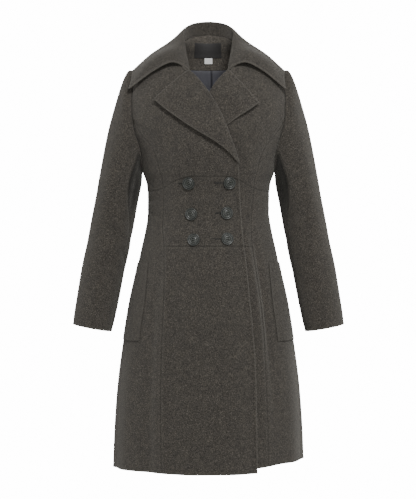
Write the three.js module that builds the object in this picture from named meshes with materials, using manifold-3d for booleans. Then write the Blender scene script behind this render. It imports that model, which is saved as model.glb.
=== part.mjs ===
// A-line coat, double-breasted, worn open at the neck and buttoned at the waist.
// Millimetres, +Z up, front toward -Y, the wearer's left toward +X.
// The origin is on the centre line at the height where the collar meets the shoulders.
import * as THREE from "three";
import { mergeVertices } from "three/addons/utils/BufferGeometryUtils.js";
import Module from "manifold-3d";

const wasm = await Module();
wasm.setup();

// Main sizes
const CLOTH = 2.4;
const COLLAR_CLOTH = 3.2;
const LAPEL_CLOTH = 2.4;
const LINING = 1.2;
const SEAM = 0.3;
const ARM_MID = -157.5;
const ARM_HALF = 118.5;
const ARM_ANGLE = 26;
const LAP = 3.5;
const WELT_LIFT = 2.9;
const BUTTON_D = 30;

// Body rings: half width, depth in front and depth behind at each height
const RINGS = [
  { z: 110, half: 57, front: 40, back: 71 },
  { z: 80, half: 59, front: 42, back: 71 },
  { z: 64, half: 61, front: 44, back: 71 },
  { z: 50, half: 64, front: 46, back: 72 },
  { z: 38, half: 72, front: 49, back: 75 },
  { z: 25, half: 91, front: 55, back: 80 },
  { z: 5, half: 121, front: 65, back: 87 },
  { z: -20, half: 156, front: 81, back: 94 },
  { z: -39, half: 181, front: 92, back: 98 },
  { z: -75, half: 193, front: 108, back: 104 },
  { z: -110, half: 201, front: 119, back: 107 },
  { z: -147, half: 203, front: 127, back: 108 },
  { z: -185, half: 193, front: 132, back: 107 },
  { z: -220, half: 177, front: 132, back: 104 },
  { z: -250, half: 166, front: 128, back: 100 },
  { z: -276, half: 159.5, front: 123, back: 96 },
  { z: -305, half: 150, front: 116, back: 92 },
  { z: -338, half: 147.5, front: 111, back: 90 },
  { z: -380, half: 148, front: 111, back: 93 },
  { z: -420, half: 154, front: 117, back: 102 },
  { z: -458, half: 162.5, front: 124, back: 114 },
  { z: -520, half: 175.8, front: 133, back: 128 },
  { z: -590, half: 191.5, front: 143, back: 141 },
  { z: -690, half: 208, front: 153, back: 152 },
  { z: -800, half: 222, front: 162, back: 162 },
  { z: -900, half: 229, front: 169, back: 170 },
  { z: -1010, half: 233, front: 175, back: 177 },
];

// Neck seam: angle from centre front, height
const NECK = [
  { a: 0, z: -46 },
  { a: 17, z: -37 },
  { a: 22.5, z: -24 },
  { a: 32, z: -8 },
  { a: 47, z: 11 },
  { a: 60, z: 24 },
  { a: 90, z: 38 },
  { a: 130, z: 62 },
  { a: 180, z: 74 },
];

// Roll line and front edge of the outer front: height, distance past the centre
const EDGE = [
  { z: -37, x: -52 },
  { z: -60, x: -29 },
  { z: -90, x: -6.7 },
  { z: -122, x: 12.5 },
  { z: -157, x: 29.7 },
  { z: -188, x: 41.7 },
  { z: -224, x: 55 },
  { z: -254, x: 65.8 },
  { z: -287, x: 69.8 },
  { z: -334, x: 72 },
  { z: -383, x: 75 },
  { z: -447, x: 80 },
  { z: -499, x: 86.6 },
  { z: -580, x: 94.4 },
  { z: -660, x: 102 },
  { z: -723, x: 107 },
  { z: -879, x: 110.4 },
  { z: -1010, x: 111.5 },
];

// Princess seams in front: height, angle from centre front on each side
const PRINCESS = [
  { z: -157.5, right: 64, left: 64 },
  { z: -178, right: 58.5, left: 58.5 },
  { z: -200, right: 53.5, left: 53.5 },
  { z: -225, right: 48.6, left: 48.6 },
  { z: -258, right: 46.7, left: 46.7 },
  { z: -293, right: 46.2, left: 46.2 },
  { z: -325, right: 46.1, left: 46.1 },
  { z: -396, right: 46.2, left: 43 },
  { z: -460, right: 39.6, left: 39.8 },
  { z: -512, right: 36, left: 39.9 },
  { z: -567, right: 33.2, left: 39.8 },
  { z: -678, right: 31.1, left: 39.1 },
  { z: -766, right: 29.9, left: 37.9 },
  { z: -1010, right: 27, left: 37 },
];

// Side-back seams: height, angle from centre back
const BACK_SEAM = [
  { z: -188, a: 62 },
  { z: -230, a: 47 },
  { z: -290, a: 39 },
  { z: -350, a: 35.5 },
  { z: -458, a: 34.5 },
  { z: -700, a: 34.5 },
  { z: -1010, a: 35 },
];

// High-waist seam: angle from centre front, height
const HIGH_WAIST = [
  { a: 0, z: -291 },
  { a: 11, z: -291 },
  { a: 28, z: -299 },
  { a: 41.6, z: -313.5 },
  { a: 47, z: -318 },
  { a: 60, z: -322.5 },
  { a: 90, z: -325 },
];
const LOW_WAIST = -457;

// Hem on each side: angle from centre front, height
const HEM = [
  { a: -30, right: -984, left: -980 },
  { a: 0, right: -985.5, left: -979 },
  { a: 30, right: -984.5, left: -974 },
  { a: 50, right: -986, left: -968.5 },
  { a: 70, right: -989, left: -969.5 },
  { a: 90, right: -993, left: -973 },
  { a: 180, right: -984, left: -984 },
];

// Pocket welts: height, distance of the front edge from the centre
const WELT = [
  { z: -496, x: 142.5 },
  { z: -547, x: 146.5 },
  { z: -601, x: 151.7 },
  { z: -639, x: 157.6 },
  { z: -682, x: 162.2 },
];
const WELT_BACK = 83;

// Sleeve rings below the armhole: centre, half width across, half depth
const SLEEVE = [
  { x: 215.6, y: 2, z: -294, half: 51.5, depth: 64 },
  { x: 224, y: 5, z: -338, half: 51, depth: 61 },
  { x: 235.2, y: 7, z: -397, half: 51.5, depth: 58 },
  { x: 246.2, y: 6, z: -456, half: 51.5, depth: 56 },
  { x: 258.5, y: 1, z: -514, half: 51.3, depth: 53 },
  { x: 270.7, y: -11, z: -588, half: 50, depth: 50 },
  { x: 278, y: -19, z: -632, half: 48.5, depth: 49 },
  { x: 281.5, y: -23, z: -653, half: 46.8, depth: 48 },
];
const SLEEVE_TILT = 10.6;

// Front sleeve seam, degrees round the sleeve at each ring from the armhole down
const SLEEVE_FRONT = [128, 126, 122, 118, 126, 150, 156, 158, 158, 158, 158];
const SLEEVE_BACK = 240;

// Collar from centre back to the front end: neck seam angle, fall behind the roll,
// then the roll, two points of the fall and the outer edge, which is tucked in on the wearer's left
const COLLAR = [
  { a: 180, drop: 6, points: [[0, 71, 106], [0, 87, 68], [0, 93, 24], [0, 100, -20]] },
  { a: 146, drop: 6, points: [[36, 61, 100], [45, 74, 64], [62, 80, 17], [80, 93, -32]] },
  { a: 118, drop: 6, points: [[55, 41, 87], [82, 50, 45], [116, 58, 2], [151, 67, -35]] },
  { a: 92, drop: 5, points: [[62, 14, 72], [98, 14, 45], [140, 10, 15], [186, 6, -26]] },
  { a: 70, drop: 1, tuck: 2, points: [[59.5, -14, 47], [98, -16, 31], [142, -20, 5], [185, -22, -37.5]] },
  { a: 40, drop: -4, tuck: 4.5, points: [[54.7, -42, 13], [92, -57, 13], [136, -57, -11], [187, -43, -59]] },
  {
    a: 18,
    drop: -6,
    tuck: 6.5,
    points: [[46, -84, -36.5], [85.7, -83, -17.4], [127, -76, -34.5], [191.5, -57, -78]],
  },
];

// Lapel outlines: outer edge from the upper corner to the foot of the roll
const LAPEL_FOOT = [
  [-23.9, -186.4],
  [1.4, -202],
  [23.8, -217],
  [44, -232],
  [56.5, -244],
  [61.3, -252.5],
];
const LAPEL_EDGE = {
  right: [[-124.5, -110], [-108.5, -125], [-90.8, -140], [-70, -155.3], [-49.7, -170.3], ...LAPEL_FOOT],
  left: [[-114.5, -118.5], [-101, -130], [-86, -140.5], [-66, -154], [-47, -168], ...LAPEL_FOOT],
};

// Buttons on the outer front: distance from the centre, height, stand-off of the back
const BUTTONS = [
  { x: -45.5, z: -307.4, off: 1.65 },
  { x: 48.2, z: -306.4, off: 1 },
  { x: -39.5, z: -381, off: 1.6 },
  { x: 41.8, z: -378.3, off: 1.6 },
  { x: -34.5, z: -442, off: 0.3 },
  { x: 43.4, z: -440, off: 0.35 },
];

const WOOL = 0x4c4a44;
const WOOL_DARK = 0x45433e;
const BLUE_LINING = 0x3c3c48;
const BUTTON_GREY = 0x2a2b2b;
const TAG_WHITE = 0xd8d8d4;

const DEG = Math.PI / 180;
const coat = new THREE.Group();

// Smooth value of one column of a table between its rows, without overshoot
function read(table, key, column, at) {
  const rows = table[0][key] < table[table.length - 1][key] ? table : [...table].reverse();
  const last = rows.length - 1;
  if (at <= rows[0][key]) return rows[0][column];
  if (at >= rows[last][key]) return rows[last][column];
  let i = 0;
  while (rows[i + 1][key] < at) i += 1;
  const slope = (k) => (rows[k + 1][column] - rows[k][column]) / (rows[k + 1][key] - rows[k][key]);
  const tangent = (k) => {
    if (k === 0) return slope(0);
    if (k === last) return slope(last - 1);
    const before = slope(k - 1);
    const after = slope(k);
    return before * after <= 0 ? 0 : (2 * before * after) / (before + after);
  };
  const step = rows[i + 1][key] - rows[i][key];
  const t = (at - rows[i][key]) / step;
  const t2 = t * t;
  const t3 = t2 * t;
  return (2 * t3 - 3 * t2 + 1) * rows[i][column] + (t3 - 2 * t2 + t) * step * tangent(i)
    + (3 * t2 - 2 * t3) * rows[i + 1][column] + (t3 - t2) * step * tangent(i + 1);
}

const mix = (a, b, t) => a + (b - a) * t;
const smooth = (lo, hi, v) => {
  const t = THREE.MathUtils.clamp((v - lo) / (hi - lo), 0, 1);
  return t * t * (3 - 2 * t);
};
const halfAt = (z) => read(RINGS, "z", "half", z);

// Angle from centre front of the point on the front at a distance x from the centre
const angleAt = (x, z) => Math.asin(THREE.MathUtils.clamp(x / halfAt(z), -1, 1)) / DEG;

// A point of the body form at an angle from centre front, positive to the wearer's left
function bodyPoint(angle, z) {
  const a = angle * DEG;
  const c = Math.cos(a);
  const depth = read(RINGS, "z", c > 0 ? "front" : "back", z);
  return new THREE.Vector3(halfAt(z) * Math.sin(a), -depth * c, z);
}

function bodyNormal(angle, z) {
  const across = bodyPoint(angle + 0.5, z).sub(bodyPoint(angle - 0.5, z));
  const up = bodyPoint(angle, z + 1.5).sub(bodyPoint(angle, z - 1.5));
  return across.cross(up).normalize();
}

function onBody(angle, z, lift = 0) {
  return bodyPoint(angle, z).addScaledVector(bodyNormal(angle, z), lift);
}

// How far each front is moved out or in where the two fronts lie over each other
function lapLift(side, angle, z) {
  const x = bodyPoint(angle, z).x * -side;
  const reach = read(EDGE, "z", "x", z);
  const depth = LAP * smooth(-50, -94, z) * mix(1, 0.8, smooth(-257, -320, z));
  return -side * depth * (1 - smooth(reach + 5, reach + 36, -x));
}

// Closed wall of even thickness about a grid of middle points
function wallGeometry(grid, thickness, normals = null) {
  const rows = grid.length;
  const cols = grid[0].length;
  const front = [];
  const back = [];
  for (let i = 0; i < rows; i += 1) {
    for (let j = 0; j < cols; j += 1) {
      const du = grid[i][Math.min(j + 1, cols - 1)].clone().sub(grid[i][Math.max(j - 1, 0)]);
      const dv = grid[Math.min(i + 1, rows - 1)][j].clone().sub(grid[Math.max(i - 1, 0)][j]);
      const across = normals ? normals[i][j].clone() : du.cross(dv).normalize();
      const n = across.multiplyScalar(thickness / 2);
      front.push(...grid[i][j].clone().add(n).toArray());
      back.push(...grid[i][j].clone().sub(n).toArray());
    }
  }
  const index = [];
  const quad = (a, b, c, d) => index.push(a, b, c, a, c, d);
  const shift = rows * cols;
  const at = (i, j) => i * cols + j;
  for (let i = 0; i < rows - 1; i += 1) {
    for (let j = 0; j < cols - 1; j += 1) {
      quad(at(i, j), at(i, j + 1), at(i + 1, j + 1), at(i + 1, j));
      quad(shift + at(i, j), shift + at(i + 1, j), shift + at(i + 1, j + 1), shift + at(i, j + 1));
    }
  }
  for (let i = 0; i < rows - 1; i += 1) {
    quad(at(i, 0), at(i + 1, 0), shift + at(i + 1, 0), shift + at(i, 0));
    quad(at(i + 1, cols - 1), at(i, cols - 1), shift + at(i, cols - 1), shift + at(i + 1, cols - 1));
  }
  for (let j = 0; j < cols - 1; j += 1) {
    quad(at(0, j + 1), at(0, j), shift + at(0, j), shift + at(0, j + 1));
    quad(at(rows - 1, j), at(rows - 1, j + 1), shift + at(rows - 1, j + 1), shift + at(rows - 1, j));
  }
  return closedGeometry([...front, ...back], index);
}

// Geometry with its faces turned outward
function closedGeometry(positions, index) {
  let volume = 0;
  const p = (k) => new THREE.Vector3(...positions.slice(3 * k, 3 * k + 3));
  for (let k = 0; k < index.length; k += 3) {
    volume += p(index[k]).dot(p(index[k + 1]).cross(p(index[k + 2])));
  }
  const turned = volume < 0 ? [...index].reverse() : index;
  const geometry = new THREE.BufferGeometry();
  geometry.setAttribute("position", new THREE.Float32BufferAttribute(positions, 3));
  geometry.setIndex(turned);
  geometry.computeVertexNormals();
  return geometry;
}

function addMesh(name, geometry, color, roughness = 0.9) {
  const material = new THREE.MeshStandardMaterial({ color, roughness, metalness: 0 });
  const mesh = new THREE.Mesh(geometry, material);
  mesh.name = name;
  coat.add(mesh);
  return mesh;
}

// One panel of the body: each row runs from one seam to the next, pulled in by half a seam.
// The first and the last row may follow a curved seam or hem.
function panel(name, starts, ends, cols, lift, how = {}) {
  const { head = null, foot = null, thickness = CLOTH, pull = SEAM / 2 } = how;
  const last = starts.length - 1;
  const turn = (at) => pull / bodyPoint(at.a + 0.5, at.z).distanceTo(bodyPoint(at.a - 0.5, at.z));
  const normals = [];
  const grid = starts.map((start, i) => {
    const end = ends[i];
    const way = Math.sign(end.a - start.a);
    const inset = i === 0 ? -pull : i === last ? pull : 0;
    normals.push([]);
    return Array.from({ length: cols + 1 }, (_, j) => {
      const t = j / cols;
      const angle = mix(start.a + way * turn(start), end.a - way * turn(end), t);
      const follow = i === 0 ? head : i === last ? foot : null;
      const z = (follow ? follow(angle) : mix(start.z, end.z, t)) + inset;
      normals[i].push(bodyNormal(angle, z));
      return onBody(angle, z, lift(angle, z));
    });
  });
  return addMesh(name, wallGeometry(grid, thickness, normals), WOOL);
}

const spread = (from, to, count) => Array.from({ length: count + 1 }, (_, i) => mix(from, to, i / count));

// Armhole edge of the body at an angle round the hole from the shoulder point
const armZ = (turn) => ARM_MID + ARM_HALF * Math.cos(turn * DEG);
const armAngle = (turn) => 90 - ARM_ANGLE * Math.sin(turn * DEG);

// Heights shared by the panels on both sides of a seam
const ROLL_ROWS = [-52, -74, -102, -130, -156, -182, -208, -234, -260];
const BODICE_LOW = [-178, -200, -226, -254, -286];
const SKIRT_ROWS = [0, 0.08, 0.16, 0.25, 0.35, 0.46, 0.58, 0.7, 0.84, 1];
const SKIRT_TOP_ROWS = [0, 0.22, 0.45, 0.7, 1];

for (const side of [-1, 1]) {
  const word = side < 0 ? "right" : "left";
  const seam = (z) => read(PRINCESS, "z", word, z);
  const hemAt = (a) => read(HEM, "a", word, a);
  const hem = (angle) => hemAt(Math.abs(angle) > 90 ? Math.abs(angle) : side * angle);
  const lift = (angle, z) => lapLift(side, angle, z);
  const flat = () => 0;
  const edge = (z) => angleAt(read(EDGE, "z", "x", z), z) * -1;
  const waistAt = (a) => read(HIGH_WAIST, "a", "z", Math.abs(a));
  const place = (a, z) => ({ a: side * a, z });

  // Angles here are measured from centre front toward this side's armhole
  const seamWaist = waistAt(seam(-318));
  const edgeWaist = waistAt(edge(-291));

  // Bodice front from the neck seam and roll line to the armhole and princess seam
  const neckAngles = [70, 49, 32, 18];
  const inner = [
    ...neckAngles.map((a) => place(a, read(NECK, "a", "z", a))),
    ...ROLL_ROWS.map((z) => place(edge(z), z)),
    place(edge(edgeWaist), edgeWaist),
  ];
  const outer = [
    place(90, 33),
    place(90, 5),
    place(90, -18),
    place(armAngle(8), armZ(8)),
    place(armAngle(40), armZ(40)),
    place(armAngle(62), armZ(62)),
    place(armAngle(88), armZ(88)),
    place(seam(-163), -163),
    ...BODICE_LOW.map((z) => place(seam(z), z)),
    place(seam(seamWaist), seamWaist),
  ];
  panel(`bodice_front_${word}`, inner, outer, 9, lift, { foot: waistAt });

  // Bodice side front from the armhole to the high-waist seam
  panel(
    `bodice_side_${word}`,
    [-163, ...BODICE_LOW, seamWaist].map((z) => place(seam(z), z)),
    [
      ...[97, 112, 128, 146, 165].map((t) => place(armAngle(t), armZ(t))),
      place(90, -279),
      place(90, waistAt(90)),
    ],
    5,
    flat,
    { foot: waistAt },
  );

  // Midriff between the high and the low waist seam, holding the lower buttons
  panel(
    `midriff_${word}`,
    SKIRT_TOP_ROWS.map((t) => mix(edgeWaist, LOW_WAIST, t)).map((z) => place(edge(z), z)),
    SKIRT_TOP_ROWS.map((t) => mix(seamWaist, LOW_WAIST, t)).map((z) => place(seam(z), z)),
    9,
    lift,
    { head: waistAt },
  );

  // Skirt centre front
  const hemEdge = hemAt(edge(-980));
  const hemSeam = hemAt(seam(-980));
  panel(
    `skirt_front_${word}`,
    SKIRT_ROWS.map((t) => mix(LOW_WAIST, hemEdge, t)).map((z) => place(edge(z), z)),
    SKIRT_ROWS.map((t) => mix(LOW_WAIST, hemSeam, t)).map((z) => place(seam(z), z)),
    9,
    lift,
    { foot: hem },
  );

  // Skirt side front, from the high-waist seam to the hem
  const seamRows = [
    ...SKIRT_TOP_ROWS.map((t) => mix(seamWaist, LOW_WAIST, t)),
    ...SKIRT_ROWS.slice(1).map((t) => mix(LOW_WAIST, hemSeam, t)),
  ];
  const sideRows = [
    ...SKIRT_TOP_ROWS.map((t) => mix(waistAt(90), LOW_WAIST, t)),
    ...SKIRT_ROWS.slice(1).map((t) => mix(LOW_WAIST, hemAt(90), t)),
  ];
  panel(
    `skirt_side_${word}`,
    seamRows.map((z) => place(seam(z), z)),
    sideRows.map((z) => place(90, z)),
    6,
    lift,
    { head: waistAt, foot: hem },
  );

  // Pocket welt lying on the side front
  const weltRows = spread(-496, -682, 6);
  panel(
    `pocket_welt_${word}`,
    weltRows.map((z) => place(angleAt(read(WELT, "z", "x", z), z), z)),
    weltRows.map((z) => place(WELT_BACK, z)),
    5,
    () => WELT_LIFT,
    { thickness: 1.8, pull: 0 },
  );

  // Side back, from the armhole and the side seam to the side-back seam
  const backSeam = (z) => 180 - read(BACK_SEAM, "z", "a", z);
  const backRows = [-210, -235, -258];
  const hemBack = hemAt(backSeam(-980));
  const backSeamRows = [
    -193,
    ...backRows,
    -279,
    waistAt(90),
    ...SKIRT_TOP_ROWS.slice(1).map((t) => mix(waistAt(90), LOW_WAIST, t)),
    ...SKIRT_ROWS.slice(1).map((t) => mix(LOW_WAIST, hemBack, t)),
  ];
  panel(
    `side_back_${word}`,
    [
      ...[110, 124, 140, 158].map((t) => place(180 - armAngle(t), armZ(t))),
      place(90, -279),
      ...sideRows.map((z) => place(90, z)),
    ],
    backSeamRows.map((z) => place(backSeam(z), z)),
    5,
    flat,
    { foot: hem },
  );

  // Back, from the neck and shoulder to the centre-back seam
  const hemCentre = hemAt(180);
  const centreRows = [
    ...[74, 58, 36, 12, -20, -55, -95, -135, -175],
    ...backSeamRows.slice(1, -SKIRT_ROWS.length + 1),
    ...SKIRT_ROWS.slice(1).map((t) => mix(LOW_WAIST, hemCentre, t)),
  ];
  const shoulder = [
    place(108, 50),
    place(92, 34),
    place(90, 5),
    place(90, -18),
    place(180 - armAngle(8), armZ(8)),
    place(180 - armAngle(40), armZ(40)),
    place(180 - armAngle(60), armZ(60)),
    place(180 - armAngle(78), armZ(78)),
    place(180 - armAngle(96), armZ(96)),
  ];
  panel(
    `back_${word}`,
    centreRows.map((z) => place(180, z)),
    [...shoulder, ...backSeamRows.slice(1).map((z) => place(backSeam(z), z))],
    6,
    flat,
    { foot: hem },
  );

  // Sleeve: smooth lines run down from the armhole through the sleeve rings
  const tilt = SLEEVE_TILT * DEG;
  const armLine = (turn) => {
    const c = Math.cos(turn * DEG);
    const s = Math.sin(turn * DEG);
    const body = bodyPoint(s >= 0 ? armAngle(turn) : 180 - armAngle(-turn), armZ(turn));
    const low = (1 - c) / 2;
    const crown = (1 - low) ** 5;
    const start = body.clone().add(new THREE.Vector3(1.6 + 2 * low + 0.3 * crown, 0, -0.06));
    const puff = 3 + 21.5 * (1 - low) ** 1.4 - 12 * crown;
    const cap = new THREE.Vector3(body.x + puff, body.y * 1.08, body.z - 6 * (1 - low) + 18.5 * crown);
    const rings = SLEEVE.map((ring) => new THREE.Vector3(
      ring.x + ring.half * c * Math.cos(tilt),
      ring.y - ring.depth * s,
      ring.z + ring.half * c * Math.sin(tilt),
    ));
    const bend = cap.clone().lerp(rings[0], 0.45);
    bend.x += (6 + 4.5 * crown) * Math.max(0, c);
    bend.y *= 1.05;
    return new THREE.CatmullRomCurve3([start, cap, bend, ...rings], false, "centripetal");
  };
  const sleevePiece = (name, fromAt, toAt, cols) => {
    const stations = [0, 0.5, 1, 1.5, 2, 3, 4, 5, 6, 7, 8, 9, 10];
    const grid = stations.map((s) => Array.from({ length: cols + 1 }, (_, j) => {
      const gap = 0.32;
      const turn = mix(fromAt(s) + gap, toAt(s) - gap, j / cols);
      const p = armLine(turn).getPoint(s / 10);
      return new THREE.Vector3(p.x * side, p.y, p.z);
    }));
    return addMesh(name, wallGeometry(grid, CLOTH), WOOL);
  };
  const frontSeam = (s) => mix(SLEEVE_FRONT[Math.floor(s)], SLEEVE_FRONT[Math.ceil(s)], s % 1);
  sleevePiece(`top_sleeve_${word}`, () => SLEEVE_BACK - 360, frontSeam, 14);
  sleevePiece(`under_sleeve_${word}`, frontSeam, () => SLEEVE_BACK, 7);

  // Lapel turned back over the front along the roll line
  const corner = [-53, -41.5];
  const foot = [63.3, -258.8];
  const lapelRows = [corner[1], ...ROLL_ROWS.slice(0, -1), foot[1]];
  const outline = new THREE.CatmullRomCurve3(
    LAPEL_EDGE[word].map(([x, z]) => new THREE.Vector3(x, 0, z)),
    false,
    "centripetal",
  );
  const across = [0, 0, 0, 0.15, 0.34, 0.55, 0.78, 1];
  const lapelGrid = lapelRows.map((z) => {
    const t = (z - corner[1]) / (foot[1] - corner[1]);
    const rollX = read(EDGE, "z", "x", z);
    const tip = outline.getPointAt(t);
    const fade = 1 - smooth(0.62, 1, t);
    return across.map((v, j) => {
      const outX = mix(tip.x, rollX - 2.5, t === 1 ? 0.5 : 0);
      const x = mix(rollX, outX, v);
      const height = mix(z, tip.z, v);
      const base = lapLift(side, side * -angleAt(x, height), height);
      const open = side < 0 ? 1 : uncovered(x, height);
      const free = side < 0 ? 1 : 1 + base / LAP;
      const rise = [0.6, 3.6, 6.4, 8.2, 9.4, 10.2, 10.6, 10.4][j] * mix(0.62, 1, fade);
      const proud = mix([1.8, 0.9, 0, 0][j] ?? 0, [2.4, 3.9, 1.8, 0][j] ?? 0, free);
      const angle = -side * angleAt(x + proud, height);
      const above = j < 2 ? 0 : base + CLOTH + 0.5;
      return onBody(angle, height, side < 0 ? base + rise : Math.max(rise * open, above));
    });
  });
  addMesh(`lapel_${word}`, wallGeometry(lapelGrid, LAPEL_CLOTH), WOOL);
}

// How far the under lapel is free of the outer front, 0 where it is covered and 1 where it is not
function uncovered(x, z) {
  const cover = read(EDGE, "z", "x", z);
  return smooth(cover + 20, cover + 50, -x);
}

// Foot of the collar: the neck seam moved off the body panels along the cloth
function neckFoot(a) {
  const off = 1.2 + 1.6 * smooth(75, 45, a);
  const seamAt = (b) => bodyPoint(b, read(NECK, "a", "z", b));
  const along = seamAt(Math.min(a + 1, 180)).sub(seamAt(a - 1));
  const out = along.cross(bodyNormal(a, read(NECK, "a", "z", a))).normalize();
  if (out.z - out.x < 0) out.negate();
  return seamAt(a).addScaledVector(out, off);
}

// Collar: stand, roll and fall in one wall from the neck seam to the outer edge
{
  const stations = [];
  for (const row of [...COLLAR].reverse()) stations.push({ ...row, side: -1 });
  for (const row of COLLAR.slice(1)) stations.push({ ...row, side: 1 });
  const lines = stations.map((row) => {
    const neck = neckFoot(row.a);
    const [roll, fall, low, edge] = row.points.map((p) => new THREE.Vector3(...p));
    const inner = neck.clone().lerp(roll, 0.6);
    const away = fall.clone().sub(roll).setZ(0).normalize();
    const shoulder = roll.clone().addScaledVector(away, 8).setZ(roll.z - row.drop);
    const tuck = row.side > 0 ? row.tuck ?? 0 : 0;
    edge.x -= tuck;
    return [neck, inner, roll, shoulder, fall, low, edge].map((p) => p.setX(p.x * row.side));
  });
  const through = (points) => new THREE.CatmullRomCurve3(points, false, "centripetal");
  const along = lines[0].map((_, k) => through(lines.map((line) => line[k])));
  const cols = 28;
  const turns = COLLAR.map((row, k) => ({ k, a: row.a }));
  const grid = Array.from({ length: cols + 1 }, (_, i) => {
    const section = along.map((curve) => curve.getPoint(i / cols));
    const at = (i / cols) * (stations.length - 1) - (COLLAR.length - 1);
    section[0] = neckFoot(read(turns, "k", "a", Math.abs(at)));
    section[0].x *= Math.sign(at) || 1;
    section[1] = section[0].clone().lerp(section[2], 0.6);
    const curve = through(section);
    return [0, 0.8, 1.5, 2, 2.5, 3, 3.5, 4, 5, 6].map((t) => curve.getPoint(t / 6));
  });
  addMesh("collar", wallGeometry(grid, COLLAR_CLOTH), WOOL);
}

// Back neck facing in self cloth and the lining below it, seen through the open neck
function insidePiece(name, top, bottom, half, rows, cols, inset, thickness, color, pleat) {
  const grid = Array.from({ length: rows + 1 }, (_, i) => {
    const t = i / rows;
    return Array.from({ length: cols + 1 }, (_, j) => {
      const angle = 180 + half * (2 * (j / cols) - 1);
      const z = mix(top(angle), bottom(angle), t);
      const fold = pleat * Math.max(0, 1 - Math.abs(angle - 180) / 5);
      return onBody(angle, z, -inset - fold);
    });
  });
  addMesh(name, wallGeometry(grid, thickness), color);
}
const facingFoot = (angle) => -12 + 8 * (Math.abs(angle - 180) / 60) ** 2;
insidePiece(
  "back_neck_facing",
  (angle) => read(NECK, "a", "z", 360 - angle > 180 ? angle : 360 - angle) - 2,
  facingFoot,
  60,
  5,
  12,
  3.6,
  1.8,
  WOOL_DARK,
  0,
);
insidePiece(
  "back_lining",
  (angle) => facingFoot(angle) - 1,
  () => -300,
  58,
  7,
  12,
  3.6,
  LINING,
  BLUE_LINING,
  4,
);

// Bare neck label and bare size tag on the facing
function insideTag(name, x0, x1, z0, z1, inset, cols, color) {
  const grid = spread(z1, z0, 3).map((z) => Array.from({ length: cols + 1 }, (_, j) => {
    const x = mix(x0, x1, j / cols);
    return onBody(180 - angleAt(x, z), z, -inset);
  }));
  addMesh(name, wallGeometry(grid, 0.6), color);
}
insideTag("neck_label", -37, 34, 19, 52, 5.7, 8, BUTTON_GREY);
insideTag("size_tag", -10, 10, 4.5, 18, 5.8, 4, TAG_WHITE);

// Four-hole button with a raised rim and a ringed face
function buttonGeometry() {
  const r = BUTTON_D / 2;
  const profile = [
    [0, 0],
    [r - 2.4, 0],
    [r, 1.7],
    [r - 1.1, 3.8],
    [r - 3.6, 2.9],
    [r - 6.4, 3.2],
    [r - 7.8, 2.4],
    [0, 2.3],
  ].map(([x, y]) => new THREE.Vector2(x, y));
  const disc = solid(new THREE.LatheGeometry(profile, 16).rotateX(Math.PI / 2));
  const holes = [[1, 1], [1, -1], [-1, 1], [-1, -1]].map(([x, y]) => {
    const hole = new THREE.CylinderGeometry(1.15, 1.15, 12, 5).rotateX(Math.PI / 2);
    return solid(hole.translate(2.3 * x, 2.3 * y, 2));
  });
  let cut = disc;
  for (const hole of holes) cut = cut.subtract(hole);
  const mesh = cut.getMesh();
  return closedGeometry(Array.from(mesh.vertProperties), Array.from(mesh.triVerts));
}

function solid(geometry) {
  const bare = geometry.clone();
  bare.deleteAttribute("normal");
  bare.deleteAttribute("uv");
  const merged = mergeVertices(bare, 1e-4);
  return new wasm.Manifold(new wasm.Mesh({
    numProp: 3,
    vertProperties: new Float32Array(merged.attributes.position.array),
    triVerts: new Uint32Array(merged.index.array),
  }));
}

BUTTONS.forEach(({ x, z, off }, i) => {
  const angle = angleAt(x, z);
  const lift = lapLift(-1, angle, z) + CLOTH / 2 + off;
  const mesh = addMesh(`button_${i + 1}`, buttonGeometry(), BUTTON_GREY, 0.35);
  mesh.position.copy(onBody(angle, z, lift));
  const across = bodyPoint(angle + 5, z).sub(bodyPoint(angle - 5, z));
  const up = bodyPoint(angle, z + 12).sub(bodyPoint(angle, z - 12));
  mesh.quaternion.setFromUnitVectors(new THREE.Vector3(0, 0, 1), across.cross(up).normalize());
});

export default coat;
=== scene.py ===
import math

import bpy
import numpy as np
from mathutils import Matrix, Vector


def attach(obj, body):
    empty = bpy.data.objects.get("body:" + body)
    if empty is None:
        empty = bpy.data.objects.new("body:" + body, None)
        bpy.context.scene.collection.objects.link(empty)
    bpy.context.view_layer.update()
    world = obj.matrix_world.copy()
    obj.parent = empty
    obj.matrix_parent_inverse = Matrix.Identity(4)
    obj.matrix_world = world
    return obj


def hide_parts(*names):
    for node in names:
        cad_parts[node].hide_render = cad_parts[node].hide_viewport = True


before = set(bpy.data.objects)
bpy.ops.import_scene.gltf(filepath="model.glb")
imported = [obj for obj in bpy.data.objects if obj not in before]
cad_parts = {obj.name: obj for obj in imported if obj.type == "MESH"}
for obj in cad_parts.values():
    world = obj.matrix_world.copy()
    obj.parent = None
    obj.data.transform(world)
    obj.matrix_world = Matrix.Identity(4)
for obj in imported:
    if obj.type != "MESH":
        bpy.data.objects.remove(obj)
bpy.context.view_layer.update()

# Millimetres in the tables, metres in the meshes, with the same named values as the part's source.
# The front faces -Y. Side -1 is the wearer's right. Angles run from centre front round to the back.
CLOTH = 2.4
COLLAR_CLOTH = 3.2
LAPEL_CLOTH = 2.4
WELT_CLOTH = 1.8
FACING_CLOTH = 1.8
THIN_CLOTH = 1.2
TAPE = 0.6
# Gap of the solids at a seam, and how far cloth reaches past its last row to close it
SEAM = 0.3
MEET = 0.75
# Rows round the edge of a shell
RIM = 4
# Armhole: middle height, half height, and how far it turns round the body
ARM_MID = -157.5
ARM_HALF = 118.5
ARM_ANGLE = 26
# Lift of the outer front over the under front, and the roll of each front's edge
LAP = 3.5
EDGE_ROLL = {-1: 2.2, 1: 0.3}
LOW_WAIST = -457
MIDRIFF_STITCH = 6.5
# How far the slope of a curved waist or hem reaches into its panel
EASE = 75
WELT_LIFT = 2.9
WELT_BACK = 83
WELT_TOP = -496
WELT_FOOT = -682
WORD = {-1: "right", 1: "left"}

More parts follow.
